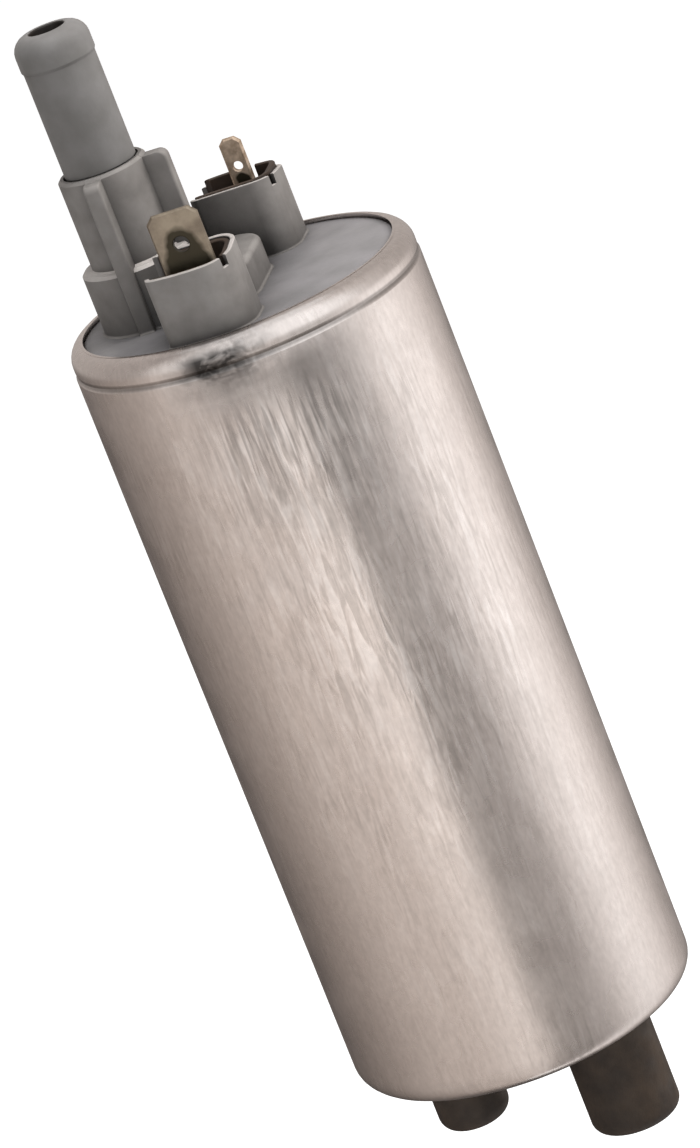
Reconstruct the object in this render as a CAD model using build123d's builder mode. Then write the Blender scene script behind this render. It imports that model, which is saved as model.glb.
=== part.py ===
from build123d import *
from math import atan2, cos, pi, sin, sqrt
import os

# Electric in-tank fuel pump: a motor and a rotor pump held in one rolled can.
# Millimetres. The origin is the middle of the can on its axis, +Z runs to the outlet,
# +X points to the inlet stub, and the two terminals stand on -Y and +Y.

# Can, a drawn tube with both ends rolled in
can_radius = 21.5
can_length = 98.6
can_wall = 1.0
top_roll_radius = 1.8
bottom_roll_radius = 2.6
top_lip_reach = 2.05
bottom_lip_reach = 3.1
roll_band_height = 3.2
roll_band_depth = 0.12
roll_chamfer_share = 0.6

# Clearances
stack_gap = 0.05
lip_gap = 0.2
seat_gap = 0.02
press_gap = 0.01
bush_gap = 0.04
slide_gap = 0.08
end_gap = 0.04
spring_gap = 0.1
cut_margin = 0.5

# Inlet cover with the inlet stub and the relief stub
cover_height = 8.0
nose_recess = 0.3
inlet_radius = 5.65
inlet_offset = 8.7
inlet_drop = 16.4
inlet_wall = 1.95
inlet_end_round = 1.6
relief_radius = 4.5
relief_offset = 10.3
relief_drop = 11.0
relief_wall = 2.2
relief_end_round = 1.9
kidney_depth = 4.0
kidney_angle = 116.0
kidney_margin = 0.6
balance_depth = 1.3
roof_over_kidney_floor = 0.4

# Relief valve
relief_seat_depth = 5.0
relief_hole_radius = 1.1
relief_mouth_radius = 1.65
relief_ball_radius = 1.8
relief_plug_length = 2.6
relief_plug_hole = 0.9
relief_wire = 0.4
relief_spring_radius = 1.4
relief_turns = 3

# Square-section seals between the stack and the can
seal_width = 1.9
seal_depth = 1.4
cap_seal_height = 8.0

# Pump rotors: the inner one has one lobe less than the outer one has
lobe_count = 7
eccentricity = 1.2
lobe_circle_radius = 11.8
lobe_radius = 4.4
lobe_gap = 0.08
root_gap = 0.15
outer_rotor_radius = 12.5
rotor_depth = 8.0

# Port plate and dowels
plate_height = 6.0
plate_boss_height = 2.5
plate_boss_wall = 1.7
dowel_radius = 1.0
dowel_offset = 16.5
dowel_bite = 3.0

# Shaft and bushes
shaft_radius = 2.5
shaft_chamfer = 0.4
shaft_over_bush = 1.0
tang_width = 3.6
tang_over_ring = 0.2
bush_wall = 2.0
bush_length = 7.0
lower_bush_floor = 0.3
upper_bush_lip = 1.0
thrust_radius = 2.9
thrust_height = 1.2
thrust_depth = 2.5
thrust_chamfer = 0.24
washer_height = 0.7
washer_width = 1.8
sleeve_wall = 1.2

# Motor
flux_wall = 2.0
magnet_thickness = 3.5
magnet_angle = 130.0
magnet_overhang = 4.0
clip_thickness = 0.5
clip_leg = 2.6
air_gap = 0.6
coil_to_hub = 1.0
coil_to_boss = 6.0
slot_count = 8
slot_root_radius = 6.6
slot_rim_wall = 1.9
slot_root_width = 2.2
slot_rim_width = 6.4
slot_mouth = 1.6
coil_gap = 0.15
coil_end_height = 5.0
coil_end_chamfer = 1.6
coil_end_inset = 1.6

# Commutator and brushes
commutator_inset = 0.4
commutator_bore_radius = 6.1
commutator_thickness = 2.0
commutator_slit = 0.5
hub_height = 2.8
tang_length = 1.0
tang_breadth = 1.8
commutator_to_carrier = 2.7
brush_length = 11.0
brush_width = 6.0
brush_depth = 4.6
brush_to_rim = 0.5
brush_chamfer = 0.3
brush_wire = 0.5
brush_spring_radius = 1.75
brush_turns = 4

# Brush carrier, which also holds the upper bush
carrier_height = 4.0
tube_wall = 1.0
tube_lift = 1.0
tube_to_ceiling = 2.6
boss_lift = 1.6
carrier_boss_wall = 1.5
boss_hole_gap = 0.5
window_width = 6.0
window_radius = 12.6
outlet_window_angle = 70.0
inlet_window_angle = 20.0

# Choke coils beside the brushes
choke_core_radius = 1.5
choke_core_length = 11.0
choke_coil_wall = 1.0
choke_coil_length = 8.5
choke_socket = 1.2
choke_angle = 39.0
choke_to_skirt = 1.3
lead_width = 0.8
lead_bend = 1.0
shunt_below_brush_top = 1.5
shunt_stand_off = 1.7

# Outlet cap
cap_skirt_height = 17.5
cap_skirt_wall = 2.45
disc_drop = 0.5
cap_plate = 3.5
bridge_x = -1.1
bridge_half_width = 4.55
bridge_spacing = 7.4
bridge_height = 4.2
bridge_round = 0.6

# Outlet tower on the cap, heights over the cap's disc
tower_offset = 10.05
tower_height = 19.0
tower_radius = 5.4
tower_base_radius = 6.8
tower_base_height = 7.6
rib_thickness = 2.0
rib_reach = 8.05
side_rib_reach = 7.4
rib_round = 0.9
edge_round = 0.35

# Nipple pressed into the tower, and the check valve under it
nipple_radius = 4.4
nipple_stem_radius = 4.0
nipple_seam_depth = 0.6
nipple_seam = 0.25
nipple_bore_radius = 2.15
nipple_top = 36.35
nipple_seat = 11.0
bead_radius = 4.58
bead_height = 4.2
bead_blend = 0.9
bead_top_round = 2.05
mouth_round = 0.25
valve_seat_height = 5.0
valve_passage_radius = 2.2
valve_room_radius = 3.7
valve_pocket_radius = 3.2
valve_pocket_depth = 5.5
valve_flange_radius = 3.3
valve_flange_height = 1.2
valve_stem_radius = 1.4
valve_stem_height = 2.7
valve_nose_radius = 1.7
valve_nose_depth = 1.5
valve_seal_height = 0.6
valve_wire = 0.45
valve_spring_radius = 2.2
valve_turns = 4

# Terminal housings on the cap: the rim drops outward on a slant
housing_inset = 1.25
housing_inner_y = 9.1
housing_width = 10.55
housing_wall = 0.6
front_outer_corner = 3.6
back_outer_corner = 2.2
housing_inner_corner = 3.0
housing_small_corner = 1.1
rim_inner_height = 9.25
rim_outer_height = 8.4
front_shift = -0.1
back_shift = 0.75
notch_width = 0.9
notch_depth = 1.25
rear_cut_width = 2.7
rear_cut_depth = 2.2
end_cut_height = 6.5

# Liners that insulate the terminals in their housings
liner_gap = 0.05
liner_wall = 0.7
liner_floor = 1.2
liner_height = 9.35

# Terminals, flat blades
terminal_inset = 3.05
blade_thickness = 0.8
blade_inside = 4.6
blade_bevel = 0.28
front_blade_x = 0.0
front_blade_width = 6.3
front_blade_top = 15.1
front_hole_height = 11.0
front_hole_radius = 0.95
front_tip = 0.9
back_blade_x = 1.25
back_blade_width = 2.8
back_blade_top = 13.9
back_hole_height = 10.3
back_hole_radius = 0.6
back_tip = 0.7

# Heights of the stack, worked out from the sizes above
can_bottom = -can_length / 2
can_top = can_length / 2
stack_bottom = can_bottom + can_wall
lip_underside = can_top - can_wall
cover_top = stack_bottom + cover_height
ring_top = cover_top + rotor_depth + 2 * end_gap
plate_top = ring_top + plate_height
cap_bottom = lip_underside - cap_skirt_height
carrier_bottom = cap_bottom - carrier_height
disc_plane = can_top - disc_drop
ceiling = disc_plane - cap_plate
commutator_top = carrier_bottom - commutator_to_carrier
hub_bottom = commutator_top - commutator_thickness - hub_height
core_top = hub_bottom - coil_to_hub - coil_end_height
core_bottom = plate_top + plate_boss_height + coil_to_boss + coil_end_height
core_length = core_top - core_bottom
motor_middle = (core_bottom + core_top) / 2
magnet_length = core_length + 2 * magnet_overhang
inlet_end = can_bottom - inlet_drop
relief_end = can_bottom - relief_drop

# Radii and places across the stack
top_lip_radius = can_radius - top_lip_reach
bottom_lip_radius = can_radius - bottom_lip_reach
can_bore = can_radius - can_wall
stack_radius = can_bore - stack_gap
top_seat_chamfer = roll_chamfer_share * (top_roll_radius - can_wall)
bottom_seat_chamfer = roll_chamfer_share * (bottom_roll_radius - can_wall)
seal_groove_radius = can_bore - seal_depth
disc_radius = top_lip_radius - lip_gap
housing_outer_radius = disc_radius - housing_inset
terminal_y = housing_outer_radius - terminal_inset
cap_bore = stack_radius - cap_skirt_wall
inlet_bore_radius = inlet_radius - inlet_wall
relief_bore_radius = relief_radius - relief_wall
bush_bore = shaft_radius + bush_gap
bush_radius = bush_bore + bush_wall
shaft_fit = shaft_radius + press_gap
magnet_outer = stack_radius - flux_wall - stack_gap
magnet_inner = magnet_outer - magnet_thickness
core_radius = magnet_inner - air_gap
slot_rim_radius = core_radius - slot_rim_wall
commutator_radius = slot_rim_radius - commutator_inset
brush_offset = commutator_radius - brush_to_rim - brush_depth / 2
choke_reach = cap_bore - choke_to_skirt - choke_coil_wall - choke_core_radius
choke_x = choke_reach * cos(choke_angle * pi / 180)
choke_y = choke_reach * sin(choke_angle * pi / 180)


def ring(outer, inner, bottom, height, centre=(0, 0)):
    """A plain ring standing on the given height."""
    with BuildPart() as piece:
        with BuildSketch(Plane.XY.offset(bottom)):
            with Locations(centre):
                Circle(outer)
                Circle(inner, mode=Mode.SUBTRACT)
        extrude(amount=height)
    return piece


def coil_spring(radius, wire, bottom, top, turns, centre=(0, 0)):
    """A compression spring of square wire between two heights."""
    rise = top - bottom - wire - 2 * spring_gap
    start = bottom + wire / 2 + spring_gap
    path = Helix(pitch=rise / turns, height=rise, radius=radius, center=(*centre, start))
    with BuildPart() as piece:
        with BuildSketch(Plane(origin=path @ 0, x_dir=(1, 0, 0), z_dir=path % 0)):
            Rectangle(wire, wire)
        sweep(path=path, is_frenet=True)
    return piece


def save(piece, name):
    """Names the piece and writes it to its own file."""
    piece.part.label = name
    export_step(piece.part, f"parts/{name}.step")


os.makedirs("parts", exist_ok=True)

# The can: its profile turned about the axis, then both outer corners rolled
band_radius = can_radius - roll_band_depth
band_bottom = can_top - roll_band_height
with BuildPart() as can:
    with BuildSketch(Plane.XZ):
        with BuildLine():
            Polyline(
                (bottom_lip_radius, can_bottom),
                (can_radius, can_bottom),
                (can_radius, band_bottom - roll_band_depth),
                (band_radius, band_bottom),
                (band_radius, can_top),
                (top_lip_radius, can_top),
                (top_lip_radius, lip_underside),
                (can_bore - top_seat_chamfer, lip_underside),
                (can_bore, lip_underside - top_seat_chamfer),
                (can_bore, stack_bottom + bottom_seat_chamfer),
                (can_bore - bottom_seat_chamfer, stack_bottom),
                (bottom_lip_radius, stack_bottom),
                close=True,
            )
        make_face()
    revolve(axis=Axis.Z)
    rims = can.edges().filter_by(GeomType.CIRCLE).group_by(Axis.Z)
    fillet(rims[-1].sort_by(SortBy.RADIUS)[-1], min(top_roll_radius, 0.95 * (band_radius - top_lip_radius)))
    fillet(rims[0].sort_by(SortBy.RADIUS)[-1], bottom_roll_radius)
save(can, "can")

# Kidney ports lie between the rotors' root circles, round the middle of the two rotor axes
outer_root_radius = lobe_circle_radius - lobe_radius + 2 * eccentricity + root_gap
inner_root_radius = lobe_circle_radius - lobe_radius - eccentricity
kidney_width = outer_root_radius - inner_root_radius - kidney_margin
kidney_radius = (outer_root_radius + inner_root_radius) / 2


def kidney(middle_angle):
    """A kidney-shaped port centred on an angle, drawn in the current sketch."""
    sweep_angle = kidney_angle - 180 / pi * kidney_width / kidney_radius
    arc = CenterArc((0, eccentricity / 2), kidney_radius, middle_angle - sweep_angle / 2, sweep_angle)
    SlotArc(arc, kidney_width)


# Inlet cover: flange, nose through the can's bottom, inlet stub and relief stub
nose_bottom = can_bottom + nose_recess
kidney_floor = cover_top - kidney_depth
inlet_bore_top = kidney_floor + roof_over_kidney_floor
relief_seat = cover_top - relief_seat_depth
cover_seal_bottom = stack_bottom + (cover_height - seal_width) / 2
with BuildPart() as inlet_cover:
    with BuildSketch(Plane.XY.offset(stack_bottom)):
        Circle(stack_radius)
    extrude(amount=cover_height)
    chamfer(inlet_cover.edges().group_by(Axis.Z)[0], bottom_seat_chamfer + stack_gap)
    with BuildSketch(Plane.XY.offset(nose_bottom)):
        Circle(bottom_lip_radius - lip_gap)
    extrude(amount=stack_bottom - nose_bottom)
    with BuildSketch(Plane.XY.offset(inlet_end)):
        with Locations((inlet_offset, 0)):
            Circle(inlet_radius)
    extrude(amount=nose_bottom - inlet_end)
    fillet(inlet_cover.edges().group_by(Axis.Z)[0], min(inlet_end_round, 0.9 * inlet_wall))
    with BuildSketch(Plane.XY.offset(relief_end)):
        with Locations((-relief_offset, 0)):
            Circle(relief_radius)
    extrude(amount=nose_bottom - relief_end)
    relief_rim = inlet_cover.edges().filter_by_position(Axis.Z, relief_end - 0.01, relief_end + 0.01)
    fillet(relief_rim, min(relief_end_round, 0.9 * relief_wall))
    with BuildSketch(Plane.XY.offset(cover_seal_bottom)):
        Circle(can_radius)
        Circle(seal_groove_radius, mode=Mode.SUBTRACT)
    extrude(amount=seal_width, mode=Mode.SUBTRACT)
    with BuildSketch(Plane.XY.offset(inlet_end)):
        with Locations((inlet_offset, 0)):
            Circle(inlet_bore_radius)
    extrude(amount=inlet_bore_top - inlet_end, mode=Mode.SUBTRACT)
    with BuildSketch(Plane.XY.offset(relief_end)):
        with Locations((-relief_offset, 0)):
            Circle(relief_bore_radius)
    extrude(amount=relief_seat - relief_end, mode=Mode.SUBTRACT)
    with BuildSketch(Plane.XY.offset(relief_seat)):
        with Locations((-relief_offset, 0)):
            Circle(relief_hole_radius)
    extrude(amount=cover_top - relief_seat, mode=Mode.SUBTRACT)
    with BuildSketch(Plane.XY.offset(cover_top)):
        kidney(0)
    extrude(amount=-kidney_depth, mode=Mode.SUBTRACT)
    with BuildSketch(Plane.XY.offset(cover_top)):
        kidney(180)
        with Locations((-relief_offset, 0)):
            Circle(relief_mouth_radius)
    extrude(amount=-balance_depth, mode=Mode.SUBTRACT)
    with BuildSketch(Plane.XY.offset(cover_top)):
        Circle(thrust_radius + seat_gap)
    extrude(amount=-thrust_depth, mode=Mode.SUBTRACT)
    with BuildSketch(Plane.XY.offset(cover_top)):
        with Locations((0, -dowel_offset), (0, dowel_offset)):
            Circle(dowel_radius + seat_gap)
    extrude(amount=-dowel_bite - seat_gap, mode=Mode.SUBTRACT)
save(inlet_cover, "inlet_cover")

# Relief valve in its stub: ball on a seat, spring and pressed-in plug
ball_drop = sqrt(relief_ball_radius ** 2 - relief_hole_radius ** 2)
ball_height = relief_seat - ball_drop - seat_gap
spring_under_ball = sqrt(relief_ball_radius ** 2 - (relief_spring_radius - relief_wire / 2) ** 2)
with BuildPart() as relief_ball:
    with Locations((-relief_offset, 0, ball_height)):
        Sphere(relief_ball_radius)
save(relief_ball, "relief_ball")

plug_top = relief_end + relief_plug_length
plug_radius = relief_bore_radius - press_gap
relief_place = (-relief_offset, 0)
relief_plug = ring(plug_radius, relief_plug_hole, relief_end + seat_gap, relief_plug_length, relief_place)
save(relief_plug, "relief_plug")
relief_spring = coil_spring(
    relief_spring_radius,
    relief_wire,
    plug_top + seat_gap,
    ball_height - spring_under_ball,
    relief_turns,
    relief_place,
)
save(relief_spring, "relief_spring")

# Seals: one round the inlet cover, one round the cap's skirt
seal_inner = seal_groove_radius + seat_gap
seal_outer = can_bore - seat_gap
cap_seal_bottom = cap_bottom + cap_seal_height
for name, bottom in (("inlet_seal", cover_seal_bottom), ("cap_seal", cap_seal_bottom)):
    seal = ring(seal_outer, seal_inner, bottom + seat_gap, seal_width - 2 * seat_gap)
    save(seal, name)

# Thrust button under the shaft's end
button_bottom = cover_top - thrust_depth
with BuildPart() as thrust_button:
    with BuildSketch(Plane.XY.offset(button_bottom)):
        Circle(thrust_radius)
    extrude(amount=thrust_height)
    chamfer(thrust_button.edges().group_by(Axis.Z)[-1], thrust_chamfer)
save(thrust_button, "thrust_button")

# Rotor ring: the outer rotor runs in its bore, which stands off the shaft's axis
rotor_axis = (0, eccentricity)
with BuildPart() as rotor_ring:
    with BuildSketch(Plane.XY.offset(cover_top)):
        Circle(stack_radius)
        with Locations(rotor_axis):
            Circle(outer_rotor_radius + bush_gap, mode=Mode.SUBTRACT)
        with Locations((0, -dowel_offset), (0, dowel_offset)):
            Circle(dowel_radius + seat_gap, mode=Mode.SUBTRACT)
    extrude(amount=ring_top - cover_top)
save(rotor_ring, "rotor_ring")

# Outer rotor: round lobes stand into a round pocket
rotor_bottom = cover_top + end_gap
with BuildPart() as outer_rotor:
    with BuildSketch(Plane.XY.offset(rotor_bottom)):
        with BuildSketch(mode=Mode.PRIVATE) as pocket:
            with Locations(rotor_axis):
                Circle(outer_root_radius)
                with PolarLocations(lobe_circle_radius, lobe_count, start_angle=-90):
                    Circle(lobe_radius, mode=Mode.SUBTRACT)
        with Locations(rotor_axis):
            Circle(outer_rotor_radius)
        add(pocket.sketch, mode=Mode.SUBTRACT)
    extrude(amount=rotor_depth)
save(outer_rotor, "outer_rotor")


def inner_rotor_point(turn):
    """One point of the curve that rolls inside the outer rotor's lobes with the lobe gap."""
    reach = lobe_radius + lobe_gap
    circle = lobe_circle_radius
    lean = atan2(
        sin((1 - lobe_count) * turn),
        circle / (eccentricity * lobe_count) - cos((1 - lobe_count) * turn),
    )
    along = circle * cos(turn) - reach * cos(turn + lean) - eccentricity * cos(lobe_count * turn)
    across = -circle * sin(turn) + reach * sin(turn + lean) + eccentricity * sin(lobe_count * turn)
    return (across, -along)


# Inner rotor drawn as a chain of short arcs, with a two-flat bore for the shaft's tang
arcs_per_lobe = 8
arc_count = (lobe_count - 1) * arcs_per_lobe
arc_points = [inner_rotor_point(pi * i / arc_count) for i in range(2 * arc_count + 1)]
with BuildPart() as inner_rotor:
    with BuildSketch(Plane.XY.offset(rotor_bottom)):
        with BuildLine():
            for i in range(0, 2 * arc_count, 2):
                ThreePointArc(*arc_points[i : i + 3])
        make_face()
        with BuildSketch(mode=Mode.PRIVATE) as two_flats:
            Circle(shaft_radius + bush_gap)
            Rectangle(4 * shaft_radius, tang_width + 2 * bush_gap, mode=Mode.INTERSECT)
        add(two_flats.sketch, mode=Mode.SUBTRACT)
    extrude(amount=rotor_depth)
save(inner_rotor, "inner_rotor")

# Port plate: pressure port right through, balance pocket on the suction side, boss for the lower bush
plate_boss_radius = bush_radius + plate_boss_wall
plate_boss_top = plate_top + plate_boss_height
lower_bush_bottom = ring_top + lower_bush_floor
with BuildPart() as port_plate:
    with BuildSketch(Plane.XY.offset(ring_top)):
        Circle(stack_radius)
    extrude(amount=plate_height)
    with BuildSketch(Plane.XY.offset(plate_top)):
        Circle(plate_boss_radius)
    extrude(amount=plate_boss_height)
    with BuildSketch(Plane.XY.offset(ring_top)):
        kidney(180)
    extrude(amount=plate_height, mode=Mode.SUBTRACT)
    with BuildSketch(Plane.XY.offset(ring_top)):
        kidney(0)
    extrude(amount=balance_depth, mode=Mode.SUBTRACT)
    with BuildSketch(Plane.XY.offset(ring_top)):
        Circle(shaft_radius + 2 * bush_gap)
        with Locations((0, -dowel_offset), (0, dowel_offset)):
            Circle(dowel_radius + seat_gap)
    extrude(amount=dowel_bite + seat_gap, mode=Mode.SUBTRACT)
    with BuildSketch(Plane.XY.offset(lower_bush_bottom)):
        Circle(bush_radius + press_gap)
    extrude(amount=plate_boss_top - lower_bush_bottom, mode=Mode.SUBTRACT)
save(port_plate, "port_plate")

# Dowels line up the cover, the rotor ring and the port plate
with BuildPart() as dowel_pins:
    with BuildSketch(Plane.XY.offset(cover_top - dowel_bite)):
        with Locations((0, -dowel_offset), (0, dowel_offset)):
            Circle(dowel_radius)
    extrude(amount=ring_top - cover_top + 2 * dowel_bite)
save(dowel_pins, "dowel_pins")

# Bushes: the lower one flush with the port plate's boss, the upper one in the brush carrier
carrier_boss_bottom = commutator_top + boss_lift
upper_bush_bottom = carrier_boss_bottom + upper_bush_lip
upper_bush_top = upper_bush_bottom + bush_length
lower_bush = ring(bush_radius, bush_bore, lower_bush_bottom, plate_boss_top - lower_bush_bottom)
save(lower_bush, "lower_bush")
upper_bush = ring(bush_radius, bush_bore, upper_bush_bottom, bush_length)
save(upper_bush, "upper_bush")

# Armature shaft with a two-flat tang through the inner rotor
shaft_bottom = button_bottom + thrust_height + end_gap
shaft_top = upper_bush_top + shaft_over_bush
tang_top = ring_top + tang_over_ring
with BuildPart() as shaft:
    with BuildSketch(Plane.XY.offset(shaft_bottom)):
        Circle(shaft_radius)
    extrude(amount=shaft_top - shaft_bottom)
    chamfer(shaft.edges().filter_by(GeomType.CIRCLE), shaft_chamfer)
    with BuildSketch(Plane.XY.offset(shaft_bottom)):
        Rectangle(4 * shaft_radius, 4 * shaft_radius)
        Rectangle(4 * shaft_radius, tang_width, mode=Mode.SUBTRACT)
    extrude(amount=tang_top - shaft_bottom, mode=Mode.SUBTRACT)
save(shaft, "armature_shaft")

# Lamination stack with T-shaped teeth


def slot_outline(gap):
    """The wedge of one winding slot, drawn smaller all round by a gap."""
    half_root = slot_root_width / 2 - gap
    half_rim = slot_rim_width / 2 - gap
    with Locations((slot_root_radius, 0)):
        length = slot_rim_radius - slot_root_radius
        Polygon((gap, -half_root), (length - gap, -half_rim), (length - gap, half_rim), (gap, half_root))


with BuildPart() as armature_core:
    with BuildSketch(Plane.XY.offset(core_bottom)):
        Circle(core_radius)
        Circle(shaft_fit, mode=Mode.SUBTRACT)
        with BuildSketch(mode=Mode.PRIVATE) as slot:
            slot_outline(0)
            with Locations((slot_rim_radius, 0)):
                Rectangle(2 * slot_rim_wall, slot_mouth)
        with PolarLocations(0, slot_count):
            add(slot.sketch, mode=Mode.SUBTRACT)
    extrude(amount=core_length)
save(armature_core, "armature_core")

# Windings: bars in the slots, joined by the coil ends above and below the core
coil_inner = slot_root_radius - coil_end_inset
with BuildPart() as windings:
    with BuildSketch(Plane.XY.offset(core_bottom)):
        with BuildSketch(mode=Mode.PRIVATE) as bar:
            slot_outline(coil_gap)
        with PolarLocations(0, slot_count):
            add(bar.sketch)
    extrude(amount=core_length)
    for plane, direction in ((core_bottom, -1), (core_top, 1)):
        with BuildSketch(Plane.XY.offset(plane)):
            Circle(slot_rim_radius - coil_gap)
            Circle(coil_inner, mode=Mode.SUBTRACT)
        extrude(amount=direction * coil_end_height)
    coil_rims = windings.edges().filter_by(GeomType.CIRCLE).group_by(Axis.Z)
    chamfer(coil_rims[0].sort_by(SortBy.RADIUS)[-1], coil_end_chamfer)
    chamfer(coil_rims[-1].sort_by(SortBy.RADIUS)[-1], coil_end_chamfer)
save(windings, "armature_windings")

# Washers and sleeve on the shaft
lower_washer_bottom = plate_boss_top + 2 * end_gap
sleeve_bottom = lower_washer_bottom + washer_height
lower_washer = ring(shaft_fit + washer_width, shaft_fit, lower_washer_bottom, washer_height)
save(lower_washer, "lower_thrust_washer")
spacer_sleeve = ring(shaft_fit + sleeve_wall, shaft_fit, sleeve_bottom, core_bottom - sleeve_bottom)
save(spacer_sleeve, "spacer_sleeve")
upper_washer = ring(shaft_fit + washer_width, shaft_fit, commutator_top + end_gap, washer_height)
save(upper_washer, "upper_thrust_washer")

# Commutator: moulded hub with copper segments on its face
hub_top = commutator_top - commutator_thickness
with BuildPart() as commutator_hub:
    with BuildSketch(Plane.XY.offset(hub_bottom)):
        Circle(commutator_radius)
        Circle(shaft_fit, mode=Mode.SUBTRACT)
    extrude(amount=hub_height)
    with BuildSketch(Plane.XY.offset(hub_top)):
        Circle(commutator_bore_radius - press_gap)
        Circle(shaft_fit, mode=Mode.SUBTRACT)
    extrude(amount=commutator_thickness)
save(commutator_hub, "commutator_hub")

with BuildPart() as commutator_segments:
    with BuildSketch(Plane.XY.offset(hub_top)):
        Circle(commutator_radius)
        with PolarLocations(commutator_radius, slot_count, start_angle=180 / slot_count):
            Rectangle(2 * tang_length, tang_breadth)
        Circle(commutator_bore_radius, mode=Mode.SUBTRACT)
        with PolarLocations(commutator_radius, slot_count):
            Rectangle(2 * commutator_radius, commutator_slit, mode=Mode.SUBTRACT)
    extrude(amount=commutator_thickness)
save(commutator_segments, "commutator_segments")

# Flux ring stands between the port plate and the brush carrier
flux_inner = stack_radius - flux_wall
flux_ring = ring(stack_radius, flux_inner, plate_top, carrier_bottom - plate_top)
save(flux_ring, "flux_ring")


def arc_block(inner, outer, middle_angle, angle, length):
    """A block between two radii and two angles, standing round the motor's middle."""
    with BuildPart() as piece:
        with BuildSketch(Plane.XY.offset(motor_middle - length / 2)):
            with BuildLine():
                outside = CenterArc((0, 0), outer, middle_angle - angle / 2, angle)
                inside = CenterArc((0, 0), inner, middle_angle - angle / 2, angle)
                Line(outside @ 0, inside @ 0)
                Line(outside @ 1, inside @ 1)
            make_face()
        extrude(amount=length)
    return piece


for name, angle in (("magnet_inlet_side", 0), ("magnet_outlet_side", 180)):
    magnet = arc_block(magnet_inner, magnet_outer, angle, magnet_angle, magnet_length)
    save(magnet, name)

# Spring clips wedge the magnets apart: a bow along the flux ring with a leg against each magnet
clip_angle = 180 - magnet_angle - 180 / pi * 2 * seat_gap / magnet_inner
leg_angle = 180 / pi * 2 * clip_thickness / magnet_outer
for name, angle in (("magnet_clip_front", -90), ("magnet_clip_back", 90)):
    clip = arc_block(magnet_outer - clip_leg, magnet_outer, angle, clip_angle, core_length)
    hollow = arc_block(
        magnet_outer - 2 * clip_leg,
        magnet_outer - clip_thickness,
        angle,
        clip_angle - leg_angle,
        2 * core_length,
    )
    with clip:
        add(hollow.part, mode=Mode.SUBTRACT)
    save(clip, name)

# Brush carrier: flange, boss for the upper bush, two brush tubes, flow windows, choke sockets
tube_inner_width = brush_width + 2 * slide_gap
tube_inner_depth = brush_depth + 2 * slide_gap
tube_bottom = commutator_top + tube_lift
tube_top = ceiling - tube_to_ceiling
carrier_boss_radius = bush_radius + carrier_boss_wall
both_sides = ((0, -brush_offset), (0, brush_offset))
brush_bottom = commutator_top + seat_gap
brush_top = brush_bottom + brush_length
shunt_bottom = brush_top - shunt_below_brush_top
with BuildPart() as brush_carrier:
    with BuildSketch(Plane.XY.offset(carrier_bottom)):
        Circle(stack_radius)
        for middle, angle in ((180, outlet_window_angle), (0, inlet_window_angle)):
            window = CenterArc((0, 0), window_radius, middle - angle / 2, angle, mode=Mode.PRIVATE)
            SlotArc(window, window_width, mode=Mode.SUBTRACT)
    extrude(amount=carrier_height)
    with BuildSketch(Plane.XY.offset(carrier_boss_bottom)):
        Circle(carrier_boss_radius)
    extrude(amount=upper_bush_top - carrier_boss_bottom)
    with BuildSketch(Plane.XY.offset(tube_bottom)):
        with Locations(*both_sides):
            Rectangle(tube_inner_width + 2 * tube_wall, tube_inner_depth + 2 * tube_wall)
    extrude(amount=tube_top - tube_bottom)
    with BuildSketch(Plane.XY.offset(tube_bottom)):
        with Locations(*both_sides):
            Rectangle(tube_inner_width, tube_inner_depth)
    extrude(amount=tube_top - tube_bottom, mode=Mode.SUBTRACT)
    with BuildSketch(Plane.XY.offset(shunt_bottom - lead_width)):
        with Locations(*both_sides):
            Rectangle(brush_width, lead_width + 4 * slide_gap, align=(Align.MIN, Align.CENTER))
    extrude(amount=tube_top - shunt_bottom + lead_width, mode=Mode.SUBTRACT)
    with BuildSketch(Plane.XY.offset(carrier_boss_bottom)):
        Circle(bush_bore + boss_hole_gap)
    extrude(amount=upper_bush_top - carrier_boss_bottom, mode=Mode.SUBTRACT)
    with BuildSketch(Plane.XY.offset(upper_bush_bottom)):
        Circle(bush_radius + press_gap)
    extrude(amount=bush_length, mode=Mode.SUBTRACT)
    with BuildSketch(Plane.XY.offset(cap_bottom)):
        with Locations((choke_x, -choke_y), (choke_x, choke_y)):
            Circle(choke_core_radius + seat_gap)
    extrude(amount=-choke_socket, mode=Mode.SUBTRACT)
save(brush_carrier, "brush_carrier")

# Brushes, their springs and the choke coils, one of each beside either terminal
choke_bottom = cap_bottom - choke_socket + seat_gap
coil_bottom = cap_bottom + seat_gap
for side, sign in (("front", -1), ("back", 1)):
    with BuildPart() as brush:
        with BuildSketch(Plane.XY.offset(brush_bottom)):
            with Locations((0, sign * brush_offset)):
                Rectangle(brush_width, brush_depth)
        extrude(amount=brush_length)
        chamfer(brush.edges().group_by(Axis.Z)[-1], brush_chamfer)
    save(brush, f"brush_{side}")
    brush_spring = coil_spring(
        brush_spring_radius, brush_wire, brush_top, ceiling, brush_turns, (0, sign * brush_offset)
    )
    save(brush_spring, f"brush_spring_{side}")
    with BuildPart() as choke_core:
        with BuildSketch(Plane.XY.offset(choke_bottom)):
            with Locations((choke_x, sign * choke_y)):
                Circle(choke_core_radius)
        extrude(amount=choke_core_length)
    save(choke_core, f"choke_core_{side}")
    choke_coil = ring(
        choke_core_radius + choke_coil_wall,
        choke_core_radius + press_gap,
        coil_bottom,
        choke_coil_length,
        (choke_x, sign * choke_y),
    )
    save(choke_coil, f"choke_coil_{side}")

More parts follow.
